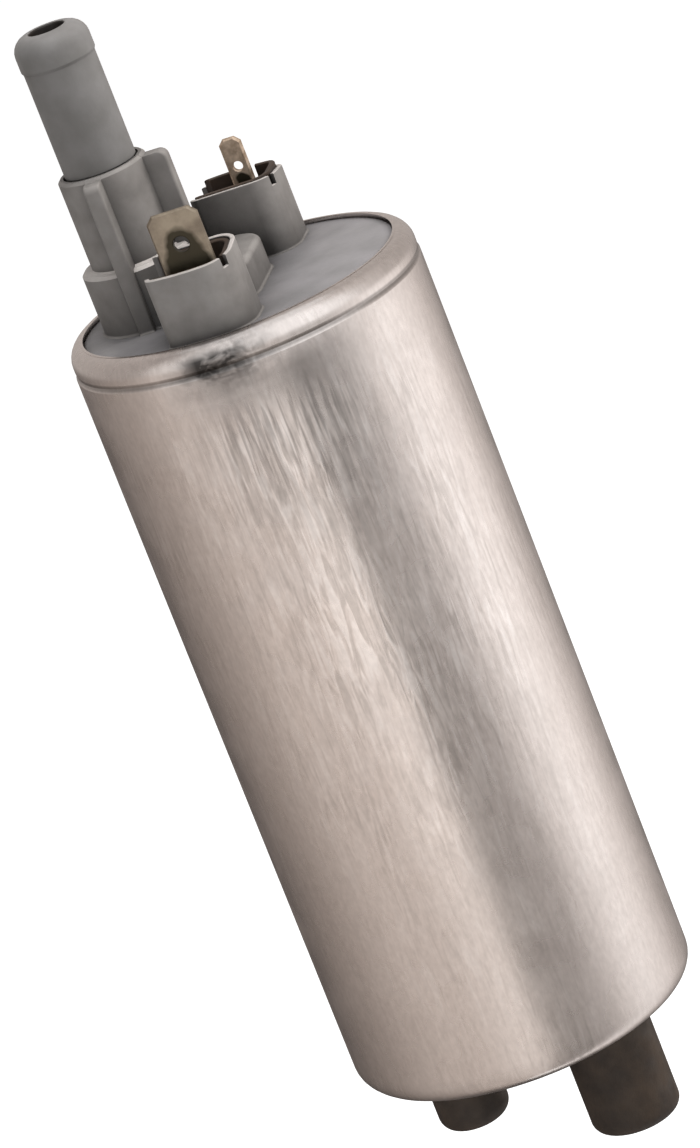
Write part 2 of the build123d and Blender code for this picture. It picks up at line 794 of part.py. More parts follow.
# Leads: from each choke coil up to its terminal, and a flexible shunt across to its brush
lead_height = ceiling - blade_inside / 2
lead_x = choke_x - choke_core_radius - choke_coil_wall / 2
coil_top = coil_bottom + choke_coil_length
coil_side = choke_x - choke_core_radius - choke_coil_wall
shunt_top = coil_top - lead_width
shunt_x = tube_inner_width / 2 + tube_wall + shunt_stand_off


def square_wire(*points):
    """A square wire along straight runs with rounded bends."""
    path = FilletPolyline(*points, radius=lead_bend)
    with BuildPart() as piece:
        with BuildSketch(Plane(origin=path @ 0, z_dir=path % 0)):
            Rectangle(lead_width, lead_width)
        sweep(path=path)
    return piece


for side, sign, blade_edge in (
    ("front", -1, front_blade_x + front_blade_width / 2),
    ("back", 1, back_blade_x + back_blade_width / 2),
):
    choke_lead = square_wire(
        (lead_x, sign * choke_y, coil_top + seat_gap),
        (lead_x, sign * choke_y, lead_height),
        (lead_x, sign * terminal_y, lead_height),
        (blade_edge + seat_gap, sign * terminal_y, lead_height),
    )
    save(choke_lead, f"choke_lead_{side}")
    brush_shunt = square_wire(
        (brush_width / 2 + seat_gap, sign * brush_offset, shunt_bottom),
        (shunt_x, sign * brush_offset, shunt_bottom),
        (shunt_x, sign * brush_offset, shunt_top),
        (coil_side - seat_gap, sign * brush_offset, shunt_top),
    )
    save(brush_shunt, f"brush_shunt_{side}")


def housing_plan(shift, outer_corner):
    """The outline of the front terminal housing: its outer wall follows the edge of the cap."""
    with BuildSketch() as plan:
        with Locations((shift, -housing_inner_y)):
            Rectangle(housing_width, can_radius, align=(Align.CENTER, Align.MAX))
        Circle(housing_outer_radius, mode=Mode.INTERSECT)
        fillet(plan.vertices().group_by(Axis.X)[0], housing_small_corner)
        fillet(plan.vertices().group_by(Axis.X)[-1].sort_by(Axis.Y)[0], outer_corner)
        fillet(plan.vertices().group_by(Axis.X)[-1].sort_by(Axis.Y)[-1], housing_inner_corner)
    return plan.sketch


rim_slope = (rim_inner_height - rim_outer_height) / (housing_outer_radius - housing_inner_y)
notch_reach = 2 * (housing_wall + cut_margin)
cut_reach = 2 * (housing_wall + liner_gap + liner_wall + cut_margin)


def end_opening(shift):
    """The space over the low end wall, between the rounded corners of the housing's -X end."""
    end_x = shift - housing_width / 2
    inner_y = -housing_inner_y - housing_small_corner
    outer_y = -sqrt(housing_outer_radius ** 2 - end_x ** 2) + housing_small_corner
    with BuildPart() as opening:
        with BuildSketch(Plane.XY.offset(disc_plane + end_cut_height)):
            with Locations((end_x, (inner_y + outer_y) / 2)):
                Rectangle(cut_reach, inner_y - outer_y)
        extrude(amount=rim_inner_height)
    return opening.part


def terminal_housing(shift, outer_corner, notch_x, notch_y, notch_angle):
    """The front housing: a pocket with a slanted rim, a low end wall and a notch in one corner."""
    plan = housing_plan(shift, outer_corner)
    rim_top = disc_plane + rim_inner_height
    rim_at_notch = rim_top - rim_slope * (-notch_y - housing_inner_y)
    with BuildPart() as housing:
        with BuildSketch(Plane.XY.offset(disc_plane)):
            add(plan)
        extrude(amount=rim_inner_height)
        with BuildSketch(Plane.XY.offset(disc_plane)):
            add(offset(plan, amount=-housing_wall, mode=Mode.PRIVATE))
        extrude(amount=rim_inner_height, mode=Mode.SUBTRACT)
        with BuildSketch(Plane.YZ):
            with BuildLine():
                Polyline(
                    (-housing_inner_y, rim_top),
                    (-housing_outer_radius, disc_plane + rim_outer_height),
                    (-housing_outer_radius, rim_top),
                    close=True,
                )
            make_face()
        extrude(amount=2 * housing_width, both=True, mode=Mode.SUBTRACT)
        with Locations(Location((notch_x, notch_y, rim_at_notch), (0, 0, notch_angle))):
            Box(notch_reach, notch_width, 2 * notch_depth, mode=Mode.SUBTRACT)
        add(end_opening(shift), mode=Mode.SUBTRACT)
    return housing.part


# The front notch is in the outer rounded corner, the back one in the inner rounded corner
outer_notch_angle = -39
outer_corner_x = front_shift + housing_width / 2 - front_outer_corner
outer_corner_y = -sqrt((housing_outer_radius - front_outer_corner) ** 2 - outer_corner_x ** 2)
outer_notch = (
    outer_corner_x + front_outer_corner * cos(outer_notch_angle * pi / 180),
    outer_corner_y + front_outer_corner * sin(outer_notch_angle * pi / 180),
    outer_notch_angle,
)
inner_notch_angle = 27
inner_notch = (
    back_shift + housing_width / 2 - housing_inner_corner * (1 - cos(inner_notch_angle * pi / 180)),
    -housing_inner_y - housing_inner_corner * (1 - sin(inner_notch_angle * pi / 180)),
    inner_notch_angle,
)

# Outlet cap: skirt, disc, bridge, tower with its ribs and the two terminal housings
rear_cut_bottom = disc_plane + rim_outer_height - rear_cut_depth
with BuildPart() as outlet_cap:
    with BuildSketch(Plane.XY.offset(cap_bottom)):
        Circle(stack_radius)
    extrude(amount=lip_underside - cap_bottom)
    chamfer(outlet_cap.edges().group_by(Axis.Z)[-1], top_seat_chamfer + stack_gap)
    with BuildSketch(Plane.XY.offset(lip_underside)):
        Circle(disc_radius)
    extrude(amount=disc_plane - lip_underside)
    with BuildSketch(Plane.XY.offset(disc_plane)):
        with Locations((bridge_x, 0)):
            SlotCenterToCenter(bridge_spacing, 2 * bridge_half_width, rotation=90)
    extrude(amount=bridge_height)
    fillet(outlet_cap.edges().group_by(Axis.Z)[-1], bridge_round)
    with BuildSketch(Plane.XY.offset(disc_plane)):
        with Locations((-tower_offset, 0)):
            Circle(tower_base_radius)
    extrude(amount=tower_base_height)
    chamfer(outlet_cap.edges().group_by(Axis.Z)[-1], edge_round)
    with BuildSketch(Plane.XY.offset(disc_plane)):
        with Locations((-tower_offset, 0)):
            Circle(tower_radius)
    extrude(amount=tower_height)
    chamfer(outlet_cap.edges().group_by(Axis.Z)[-1], edge_round)
    with BuildSketch(Plane.XY.offset(disc_plane)):
        with Locations((-tower_offset, 0)):
            Rectangle(rib_reach, rib_thickness, align=(Align.MIN, Align.CENTER))
            Rectangle(rib_thickness, 2 * side_rib_reach)
    extrude(amount=tower_height - edge_round)
    rib_tops = outlet_cap.edges().filter_by_position(
        Axis.Z, disc_plane + tower_height - edge_round - 0.01, disc_plane + tower_height - edge_round + 0.01
    )
    fillet(rib_tops.filter_by(Axis.Y).sort_by(Axis.X)[-1], rib_round)
    side_tops = rib_tops.filter_by(Axis.X).sort_by(Axis.Y)
    fillet(side_tops[0], rib_round)
    fillet(side_tops[-1], rib_round)
    add(terminal_housing(front_shift, front_outer_corner, *outer_notch))
    add(mirror(terminal_housing(back_shift, back_outer_corner, *inner_notch), about=Plane.XZ))
    with BuildSketch(Plane.XY.offset(rear_cut_bottom)):
        with Locations((back_blade_x, housing_outer_radius)):
            Rectangle(rear_cut_width, cut_reach)
    extrude(amount=rim_inner_height, mode=Mode.SUBTRACT)
    with BuildSketch(Plane.XY.offset(cap_bottom)):
        Circle(cap_bore)
    extrude(amount=ceiling - cap_bottom, mode=Mode.SUBTRACT)
    with BuildSketch(Plane.XY.offset(ceiling)):
        with Locations((-tower_offset, 0)):
            Circle(valve_passage_radius)
    extrude(amount=disc_plane + tower_height - ceiling, mode=Mode.SUBTRACT)
    with BuildSketch(Plane.XY.offset(disc_plane + valve_seat_height)):
        with Locations((-tower_offset, 0)):
            Circle(valve_room_radius)
    extrude(amount=tower_height - valve_seat_height, mode=Mode.SUBTRACT)
    with BuildSketch(Plane.XY.offset(disc_plane + nipple_seat)):
        with Locations((-tower_offset, 0)):
            Circle(nipple_stem_radius + press_gap)
    extrude(amount=tower_height - nipple_seat, mode=Mode.SUBTRACT)
    with BuildSketch(Plane.XY.offset(disc_plane + tower_height - nipple_seam_depth)):
        with Locations((-tower_offset, 0)):
            Circle(nipple_radius + nipple_seam)
    extrude(amount=nipple_seam_depth, mode=Mode.SUBTRACT)
    with BuildSketch(Plane.XY.offset(ceiling)):
        with Locations((front_blade_x, -terminal_y)):
            Rectangle(front_blade_width + 2 * seat_gap, blade_thickness + 2 * seat_gap)
        with Locations((back_blade_x, terminal_y)):
            Rectangle(back_blade_width + 2 * seat_gap, blade_thickness + 2 * seat_gap)
    extrude(amount=cap_plate, mode=Mode.SUBTRACT)
    with BuildSketch(Plane.XY.offset(cap_seal_bottom)):
        Circle(can_radius)
        Circle(seal_groove_radius, mode=Mode.SUBTRACT)
    extrude(amount=seal_width, mode=Mode.SUBTRACT)
save(outlet_cap, "outlet_cap")


def liner_cup(shift, outer_corner, blade_x, blade_width):
    """The front liner: a cup in its housing, low at its end, with a slit for the blade in its floor."""
    plan = housing_plan(shift, outer_corner)
    with BuildPart() as liner:
        with BuildSketch(Plane.XY.offset(disc_plane)):
            add(offset(plan, amount=-housing_wall - liner_gap, mode=Mode.PRIVATE))
        extrude(amount=liner_height)
        with BuildSketch(Plane.XY.offset(disc_plane + liner_floor)):
            add(offset(plan, amount=-housing_wall - liner_gap - liner_wall, mode=Mode.PRIVATE))
        extrude(amount=liner_height, mode=Mode.SUBTRACT)
        with BuildSketch(Plane.XY.offset(disc_plane)):
            with Locations((blade_x, -terminal_y)):
                Rectangle(blade_width + 2 * seat_gap, blade_thickness + 2 * seat_gap)
        extrude(amount=liner_floor, mode=Mode.SUBTRACT)
        add(end_opening(shift), mode=Mode.SUBTRACT)
    return liner


# Terminal liners, the back one cut through where its housing is
liner_front = liner_cup(front_shift, front_outer_corner, front_blade_x, front_blade_width)
save(liner_front, "terminal_liner_front")
with BuildPart() as liner_back:
    cup = liner_cup(back_shift, back_outer_corner, back_blade_x, back_blade_width)
    add(mirror(cup.part, about=Plane.XZ))
    with BuildSketch(Plane.XY.offset(rear_cut_bottom)):
        with Locations((back_blade_x, housing_outer_radius)):
            Rectangle(rear_cut_width, cut_reach)
    extrude(amount=rim_inner_height, mode=Mode.SUBTRACT)
save(liner_back, "terminal_liner_back")


def terminal_blade(x, y, width, top, hole_height, hole_radius, tip):
    """A flat blade with its tip corners cut, its long edges bevelled and a hole near its tip."""
    blade_bottom = ceiling - blade_inside
    with BuildPart() as blade:
        with BuildSketch(Plane.XZ.offset(-y)):
            with BuildSketch(mode=Mode.PRIVATE) as outline:
                with Locations((x, blade_bottom)):
                    Rectangle(width, disc_plane + top - blade_bottom, align=(Align.CENTER, Align.MIN))
                chamfer(outline.vertices().group_by(Axis.Y)[-1], tip)
            add(outline.sketch)
            with Locations((x, disc_plane + hole_height)):
                Circle(hole_radius, mode=Mode.SUBTRACT)
        extrude(amount=blade_thickness / 2, both=True)
        chamfer(blade.edges().filter_by(Axis.Z), blade_bevel)
    return blade


# Terminals: the wide one on the front, the narrow one on the back
terminal_front = terminal_blade(
    front_blade_x,
    -terminal_y,
    front_blade_width,
    front_blade_top,
    front_hole_height,
    front_hole_radius,
    front_tip,
)
save(terminal_front, "terminal_front")
terminal_back = terminal_blade(
    back_blade_x,
    terminal_y,
    back_blade_width,
    back_blade_top,
    back_hole_height,
    back_hole_radius,
    back_tip,
)
save(terminal_back, "terminal_back")

# Check valve in the tower: poppet with its seal on the seat, pushed down by a spring
tower_axis = Axis((-tower_offset, 0, 0), (0, 0, 1))
tower_plane = Plane(origin=(-tower_offset, 0, disc_plane), x_dir=(1, 0, 0), z_dir=(0, -1, 0))
flange_bottom = valve_seat_height + valve_seal_height
flange_top = flange_bottom + valve_flange_height
with BuildPart() as poppet:
    with BuildSketch(tower_plane):
        with BuildLine():
            Polyline(
                (0, valve_seat_height - valve_nose_depth),
                (valve_nose_radius / 2, valve_seat_height - valve_nose_depth),
                (valve_nose_radius, valve_seat_height - valve_nose_depth / 3),
                (valve_nose_radius, flange_bottom),
                (valve_flange_radius, flange_bottom),
                (valve_flange_radius, flange_top),
                (valve_stem_radius, flange_top),
                (valve_stem_radius, flange_top + valve_stem_height),
                (0, flange_top + valve_stem_height),
                close=True,
            )
        make_face()
    revolve(axis=tower_axis)
save(poppet, "check_valve_poppet")

valve_seal = ring(
    valve_flange_radius,
    valve_nose_radius + seat_gap,
    disc_plane + valve_seat_height,
    valve_seal_height,
    (-tower_offset, 0),
)
save(valve_seal, "check_valve_seal")
nipple_shoulder = nipple_seat + valve_pocket_depth
valve_spring = coil_spring(
    valve_spring_radius,
    valve_wire,
    disc_plane + flange_top,
    disc_plane + nipple_shoulder,
    valve_turns,
    (-tower_offset, 0),
)
save(valve_spring, "check_valve_spring")

# Outlet nipple: a tube with a bead, its stem pressed into the tower over the valve
with BuildPart() as nipple:
    with BuildSketch(tower_plane):
        with BuildSketch(mode=Mode.PRIVATE) as profile:
            with BuildLine():
                Polyline(
                    (valve_pocket_radius, nipple_seat),
                    (nipple_stem_radius, nipple_seat),
                    (nipple_stem_radius, tower_height),
                    (nipple_radius, tower_height),
                    (nipple_radius, nipple_top - bead_height),
                    (bead_radius, nipple_top - bead_height + bead_blend),
                    (bead_radius, nipple_top),
                    (nipple_bore_radius, nipple_top),
                    (nipple_bore_radius, nipple_shoulder),
                    (valve_pocket_radius, nipple_shoulder),
                    close=True,
                )
            make_face()
            fillet(profile.vertices().group_by(Axis.Y)[-1].sort_by(Axis.X)[-1], bead_top_round)
            fillet(profile.vertices().group_by(Axis.Y)[-1].sort_by(Axis.X)[0], mouth_round)
        add(profile.sketch)
    revolve(axis=tower_axis)
save(nipple, "outlet_nipple")
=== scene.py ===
"""Studio scene of an electric in-tank fuel pump.

The shared frame carries every solid of the pump. This script loads it, builds finer meshes for
the pieces that the eye reaches and for the springs and leads that give way, dresses those and
all the inner solids with procedural finishes, and sets a floor, soft lights and the camera round
them. Sizes are in millimetres, and the meshes are written in metres.
"""

import logging
from collections.abc import Callable, Sequence
from dataclasses import dataclass
from enum import Enum
from functools import reduce
from math import acos, asin, atan2, copysign, cos, degrees, exp, hypot, pi, radians, sin, sqrt, tan, tau

import bmesh
import bpy
from mathutils import Matrix, Vector, noise

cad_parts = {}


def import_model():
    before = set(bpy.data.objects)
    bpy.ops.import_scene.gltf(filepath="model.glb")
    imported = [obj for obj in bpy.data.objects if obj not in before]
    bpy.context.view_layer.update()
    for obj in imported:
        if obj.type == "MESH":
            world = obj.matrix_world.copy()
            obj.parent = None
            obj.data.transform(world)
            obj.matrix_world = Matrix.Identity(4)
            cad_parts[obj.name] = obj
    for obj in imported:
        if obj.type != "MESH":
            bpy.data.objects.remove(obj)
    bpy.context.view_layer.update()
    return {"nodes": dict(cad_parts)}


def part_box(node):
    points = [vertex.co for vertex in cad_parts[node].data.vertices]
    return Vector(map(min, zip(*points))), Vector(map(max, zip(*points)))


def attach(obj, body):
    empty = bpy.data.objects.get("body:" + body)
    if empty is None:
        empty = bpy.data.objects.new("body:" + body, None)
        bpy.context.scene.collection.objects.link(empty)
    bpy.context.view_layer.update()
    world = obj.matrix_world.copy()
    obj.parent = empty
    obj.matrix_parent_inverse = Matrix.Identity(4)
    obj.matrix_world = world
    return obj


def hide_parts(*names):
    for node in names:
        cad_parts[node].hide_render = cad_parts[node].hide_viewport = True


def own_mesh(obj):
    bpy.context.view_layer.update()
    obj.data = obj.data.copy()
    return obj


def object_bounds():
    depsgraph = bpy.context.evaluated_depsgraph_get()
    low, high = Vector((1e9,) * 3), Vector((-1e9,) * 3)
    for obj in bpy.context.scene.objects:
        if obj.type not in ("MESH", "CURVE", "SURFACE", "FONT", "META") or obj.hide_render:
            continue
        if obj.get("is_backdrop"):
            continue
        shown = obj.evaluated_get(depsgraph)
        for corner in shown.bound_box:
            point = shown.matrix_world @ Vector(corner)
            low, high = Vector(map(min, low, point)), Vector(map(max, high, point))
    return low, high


MM = 0.001
# Height of the cap's disc, which everything on the cap stands on.
DISC_PLANE = 48.8
WHITE = (1.0, 1.0, 1.0, 1.0)
NOUGHT_TO_ONE = (0.0, 1.0)
LOOKING_RAYS = ("Is Camera Ray", "Is Glossy Ray", "Is Transmission Ray")
# Nearly all values of a noise texture lie in this range.
NOISE_RANGE = (0.3, 0.7)

Point = tuple[float, float]
Triple = tuple[float, float, float]
# A range of values, and what its two ends become.
Change = tuple[Point, Point]
Stops = Sequence[tuple[float, int]]
Ring = list[Vector]
Mesh = bmesh.types.BMesh
Tree = bpy.types.NodeTree
Socket = bpy.types.NodeSocket
Value = Socket | float

log = logging.getLogger("pump")


# Shader helpers


def linear(colour: int) -> tuple[float, float, float, float]:
    """Turns a colour as it is seen into the linear values that shaders use.

    Args:
        colour: sRGB colour as 0xRRGGBB.

    Returns:
        Linear red, green, blue and an alpha of one.
    """
    parts = [((colour >> shift) & 255) / 255 for shift in (16, 8, 0)]
    red, green, blue = (v / 12.92 if v <= 0.04045 else ((v + 0.055) / 1.055) ** 2.4 for v in parts)
    return (red, green, blue, 1.0)


def emptied(owner: bpy.types.Material | bpy.types.World) -> Tree:
    """Turns on the nodes of a material or a world and clears them away.

    Args:
        owner: The material or the world.

    Returns:
        Its node tree.
    """
    owner.use_nodes = True
    owner.node_tree.nodes.clear()
    return owner.node_tree


def add_node(
    tree: Tree, kind: str, links: dict[str | int, object] | None = None, **settings: object
) -> bpy.types.Node:
    """Adds one shader node with its settings and its inputs.

    Args:
        tree: The node tree that gets the node.
        kind: The node's type name.
        links: Input name or number, with another node's output or a plain value.
        **settings: Properties of the node itself.

    Returns:
        The new node.
    """
    made = tree.nodes.new(kind)
    for name, value in settings.items():
        setattr(made, name, value)
    for name, value in (links or {}).items():
        if isinstance(value, Socket):
            tree.links.new(value, made.inputs[name])
        else:
            made.inputs[name].default_value = value
    return made


def ramp(tree: Tree, factor: Socket, stops: Stops) -> Socket:
    """Colours a factor by stops.

    Args:
        tree: The node tree.
        factor: The value that runs along the ramp.
        stops: Place and sRGB colour of each stop, in rising order.

    Returns:
        The ramp's colour output.
    """
    made = add_node(tree, "ShaderNodeValToRGB", {"Fac": factor})
    elements = made.color_ramp.elements
    while len(elements) < len(stops):
        elements.new(0.5)
    for element, (place, colour) in zip(elements, stops):
        element.position = place
        element.color = linear(colour)
    return made.outputs["Color"]


def remap(tree: Tree, value: Socket, source: Point, target: Point = NOUGHT_TO_ONE) -> Socket:
    """A value, the ends of whose source range are mapped onto those of the target, clamped."""
    limits = {"From Min": source[0], "From Max": source[1], "To Min": target[0], "To Max": target[1]}
    return add_node(tree, "ShaderNodeMapRange", {"Value": value, **limits}).outputs["Result"]


def blend(tree: Tree, factor: Value, first: object, second: object) -> Socket:
    """Mixes two colours, or two outputs that carry colours.

    Args:
        tree: The node tree.
        factor: Share of the second one.
        first: Colour or output at a share of nought.
        second: Colour or output at a share of one.

    Returns:
        The mixed colour.
    """
    # In the mix node, sockets 6 and 7 and output 2 are the ones that carry colours.
    links = {0: factor, 6: first, 7: second}
    return add_node(tree, "ShaderNodeMix", links, data_type="RGBA").outputs[2]


def calculate(tree: Tree, operation: str, *values: Value) -> Socket:
    """One sum of the given kind on outputs or plain numbers."""
    return add_node(tree, "ShaderNodeMath", dict(enumerate(values)), operation=operation).outputs["Value"]


def together(tree: Tree, operation: str, *values: Value) -> Socket:
    """The same sum over all the values, one after another."""
    return reduce(lambda first, second: calculate(tree, operation, first, second), values)


def revalued(tree: Tree, colour: Socket, value: Socket) -> Socket:
    """A colour made lighter or darker by a value."""
    return add_node(tree, "ShaderNodeHueSaturation", {"Color": colour, "Value": value}).outputs["Color"]


def bumped(tree: Tree, height: Socket, depth: float, **under: Socket) -> Socket:
    """The normal that a height gives at a depth in millimetres, over the one under it."""
    links = {"Height": height, "Distance": depth * MM, **under}
    return add_node(tree, "ShaderNodeBump", links).outputs["Normal"]


def position(tree: Tree) -> bpy.types.bpy_prop_collection:
    """The X, Y and Z outputs of the place on the object, in millimetres.

    Args:
        tree: The node tree.

    Returns:
        The outputs by name.
    """
    where = add_node(tree, "ShaderNodeTexCoord").outputs["Object"]
    links = {"Vector": where, "Scale": [1 / MM] * 3}
    scaled = add_node(tree, "ShaderNodeMapping", links).outputs["Vector"]
    return add_node(tree, "ShaderNodeSeparateXYZ", {"Vector": scaled}).outputs


# Finishes


@dataclass(frozen=True)
class Finish:
    """A surface whose tone and sheen drift over it, with a fine grain.

    The two tones are what the eye sees in its lit and worn places, the patch size is how far
    apart such places lie, and the grain is the texture that the making left. The recess is how
    far from a corner painted shade still darkens it, and its shade is what is left in the deepest one.
    The two ranges say at which values of the noise or of the open share the ends are reached,
    and the sheen share is the size of the sheen's patches against the tone's.
    """

    name: str
    light: int
    dark: int
    metallic: float = 0.0
    roughness: Point = (0.45, 0.6)
    patch: float = 6.0
    grain: float = 0.5
    grain_depth: float = 0.012
    stretch: Triple = (1.0, 1.0, 1.0)
    recess: float = 0.0
    recess_shade: float = 0.35
    recess_range: Point = (0.3, 0.95)
    tone_range: Point = (0.32, 0.68)
    sheen_share: float = 0.6

    @property
    def tree(self) -> Tree:
        """The node tree of the finish's own material."""
        return bpy.data.materials[f"finish_{self.name}"].node_tree

    def place(self, size: float, stretch: Triple | None = None) -> Socket:
        """Gives coordinates in which one unit is the given size.

        Args:
            size: Length of one unit in millimetres.
            stretch: How much longer a unit is along X, Y and Z.

        Returns:
            The coordinate output.
        """
        scale = [1 / (size * MM * s) for s in (stretch or self.stretch)]
        where = add_node(self.tree, "ShaderNodeTexCoord").outputs["Object"]
        return add_node(self.tree, "ShaderNodeMapping", {"Vector": where, "Scale": scale}).outputs["Vector"]

    def noise(
        self, size: float, detail: float = 3.0,
        stretch: Triple | None = None, distortion: float = 0.0,
    ) -> Socket:
        """Noise over the surface.

        Args:
            size: Size of its patches in millimetres.
            detail: How many finer layers lie over them.
            stretch: How much longer the patches are along X, Y and Z.
            distortion: How wavy they are.

        Returns:
            Values from nought to one.
        """
        links = {"Vector": self.place(size, stretch), "Scale": 1.0}
        links |= {"Detail": detail, "Distortion": distortion}
        return add_node(self.tree, "ShaderNodeTexNoise", links).outputs["Fac"]

    def tone(self) -> Socket:
        """The colour, which drifts between the two tones and darkens with painted shade in recesses.

        Returns:
            The colour output.
        """
        stops = list(zip(self.tone_range, (self.dark, self.light)))
        drift = ramp(self.tree, self.noise(self.patch), stops)
        if not self.recess:
            return drift
        # Painted shade: ambient occlusion darkens the tone in corners and recesses.
        reach = {"Distance": self.recess * MM}
        open_share = add_node(self.tree, "ShaderNodeAmbientOcclusion", reach).outputs["AO"]
        value = remap(self.tree, open_share, self.recess_range, (self.recess_shade, 1.0))
        return revalued(self.tree, drift, value)

    def sheen(self) -> Socket:
        """The roughness, which drifts between its two values."""
        return remap(self.tree, self.noise(self.patch * self.sheen_share), NOISE_RANGE, self.roughness)

    def relief(self) -> Socket:
        """The bumped normal of the grain."""
        return bumped(self.tree, self.noise(self.grain, 2.0), self.grain_depth)

    def material(self) -> bpy.types.Material:
        """Makes the material once and gives the same one again after that.

        Returns:
            The material.
        """
        known = bpy.data.materials.get(f"finish_{self.name}")
        if known:
            return known
        made = bpy.data.materials.new(f"finish_{self.name}")
        emptied(made)
        links = {
            "Base Color": self.tone(),
            "Roughness": self.sheen(),
            "Normal": self.relief(),
            "Metallic": self.metallic,
        }
        shader = add_node(self.tree, "ShaderNodeBsdfPrincipled", links)
        add_node(self.tree, "ShaderNodeOutputMaterial", {"Surface": shader.outputs["BSDF"]})
        return made


@dataclass(frozen=True)
class DrawnSteel(Finish):
    """Deep-drawn steel, bright where the die burnished it and grained along the draw.

    Long wavy streaks run along the can, densest in its upper half where the wall was ironed
    thin, and they break up the reflections as the grain of wood would. The real ones are finer
    than a pixel, so they are drawn as coarse as the eye needs. Beside the crimp the rolling
    tool has left a dull grey smear, with a haze of fine lines under it, and painted shade darkens
    the band's step. Heights are from the middle of the can, and ways round it in radians from +X.
    """

    middle: int = 0xE4DCD8
    stops: Triple = (0.36, 0.5, 0.64)
    fleck: float = 0.55
    fleck_length: float = 1.8
    fleck_value: Point = (0.94, 1.05)
    streak: float = 0.75
    streak_length: float = 8.0
    streak_wave: float = 0.9
    streak_depth: float = 0.026
    streak_rise: Change = ((-30.0, 18.0), (0.35, 1.0))
    streak_band: Change = ((37.0, 42.5), (1.0, 0.3))
    streak_patch: float = 7.0
    streak_patch_length: float = 2.5
    streak_patches: Change = ((0.2, 0.8), (0.1, 1.5))
    streak_way: float = -1.25
    streak_aside: Change = ((0.2, 0.85), (1.3, 0.5))
    smear_way: float = -1.54
    smear_half: float = 0.25
    smear_left: float = 0.07
    smear_heights: Point = (42.5, 46.0)
    smear_patch: float = 2.2
    smear_patch_length: float = 0.6
    smear_patch_wave: float = 0.5
    smear_patches: Change = ((0.34, 0.58), (0.55, 1.0))
    smear_under_roll: Change = ((47.6, 48.7), (1.0, 0.4))
    haze_way: float = -1.33
    haze_half: float = 0.42
    haze_left: float = 0.5
    haze_heights: Point = (16.0, 38.0)
    haze_plain: Point = (36.0, 42.0)
    haze_line: float = 0.5
    haze_line_length: float = 18.0
    haze_line_wave: float = 0.25
    haze_lines: Change = ((0.42, 0.6), (1.0, 0.3))
    haze_under_band: Change = ((43.5, 46.5), (1.0, 0.2))
    step_height: float = 46.1
    step_shade: Change = ((0.2, 0.5), (0.55, 1.0))

    def by_height(self, source: Point, target: Point = NOUGHT_TO_ONE) -> Socket:
        """A value that changes with the height along the can."""
        return remap(self.tree, position(self.tree)["Z"], source, target)

    def aside(self, way: float) -> Socket:
        """How many radians a place on the can is from one way round it.

        Args:
            way: The way round the can in radians.

        Returns:
            The angle, never below nought.
        """
        place = position(self.tree)
        round_about = calculate(self.tree, "ARCTAN2", place["Y"], place["X"])
        return calculate(self.tree, "ABSOLUTE", calculate(self.tree, "SUBTRACT", round_about, way))

    def streaks(self) -> Socket:
        """The wavy lines about a half, in patches, fading towards the can's foot and on its band.

        Returns:
            Values about a half.
        """
        long = (1.0, 1.0, self.streak_length)
        wavy = self.noise(self.streak, stretch=long, distortion=self.streak_wave)
        patch_long = (1.0, 1.0, self.streak_patch_length)
        patchy = self.noise(self.streak_patch, 1.0, stretch=patch_long)
        strength = together(
            self.tree,
            "MULTIPLY",
            self.by_height(*self.streak_rise),
            self.by_height(*self.streak_band),
            remap(self.tree, patchy, *self.streak_patches),
            remap(self.tree, self.aside(self.streak_way), *self.streak_aside),
        )
        off = calculate(self.tree, "SUBTRACT", wavy, 0.5)
        return calculate(self.tree, "MULTIPLY_ADD", off, strength, 0.5)

    def beside(self, way: float, half: float, heights: Point) -> Socket:
        """Nought to one: how near a place is to a way round the can, and how far up the heights."""
        near = remap(self.tree, self.aside(way), (half * 0.5, half * 1.5), (1.0, 0.0))
        return calculate(self.tree, "MULTIPLY", near, self.by_height(heights))

    def smear(self) -> Socket:
        """How much the rolling tool has dulled the place, most of all on the band.

        Returns:
            Values from nought to one.
        """
        squat = (1.0, 1.0, self.smear_patch_length)
        ragged = self.noise(self.smear_patch, 2.0, squat, self.smear_patch_wave)
        return together(
            self.tree,
            "MULTIPLY",
            self.beside(self.smear_way, self.smear_half, self.smear_heights),
            remap(self.tree, ragged, *self.smear_patches),
            self.by_height(*self.smear_under_roll),
        )

    def haze(self) -> Socket:
        """How hazy the wall is under the smear, between raised lines that stay bright lower down.

        Returns:
            Values from nought to one.
        """
        long = (1.0, 1.0, self.haze_line_length)
        fine = self.noise(self.haze_line, stretch=long, distortion=self.haze_line_wave)
        lines = remap(self.tree, fine, *self.haze_lines)
        return together(
            self.tree,
            "MULTIPLY",
            self.beside(self.haze_way, self.haze_half, self.haze_heights),
            self.by_height(*self.haze_under_band),
            calculate(self.tree, "MAXIMUM", lines, self.by_height(self.haze_plain)),
        )

    def tone(self) -> Socket:
        """The steel's tone with its streaks and flecks, the haze, the smear and painted shade at the band's
        step.

        Returns:
            The colour output.
        """
        stops = list(zip(self.stops, (self.dark, self.middle, self.light)))
        specks = self.noise(self.fleck, 2.0, stretch=(1.0, 1.0, self.fleck_length))
        # Painted shade: the tone darkens in a thin line along the band's step, in its groove.
        off = calculate(self.tree, "SUBTRACT", position(self.tree)["Z"], self.step_height)
        value = together(
            self.tree,
            "MULTIPLY",
            remap(self.tree, specks, NOISE_RANGE, self.fleck_value),
            remap(self.tree, self.smear(), NOUGHT_TO_ONE, (1.0, self.smear_left)),
            remap(self.tree, self.haze(), NOUGHT_TO_ONE, (1.0, self.haze_left)),
            remap(self.tree, calculate(self.tree, "ABSOLUTE", off), *self.step_shade),
        )
        return revalued(self.tree, ramp(self.tree, self.streaks(), stops), value)

    def relief(self) -> Socket:
        """The bumped normal of the streaks with the grain over it."""
        return bumped(self.tree, self.streaks(), self.streak_depth, Normal=super().relief())


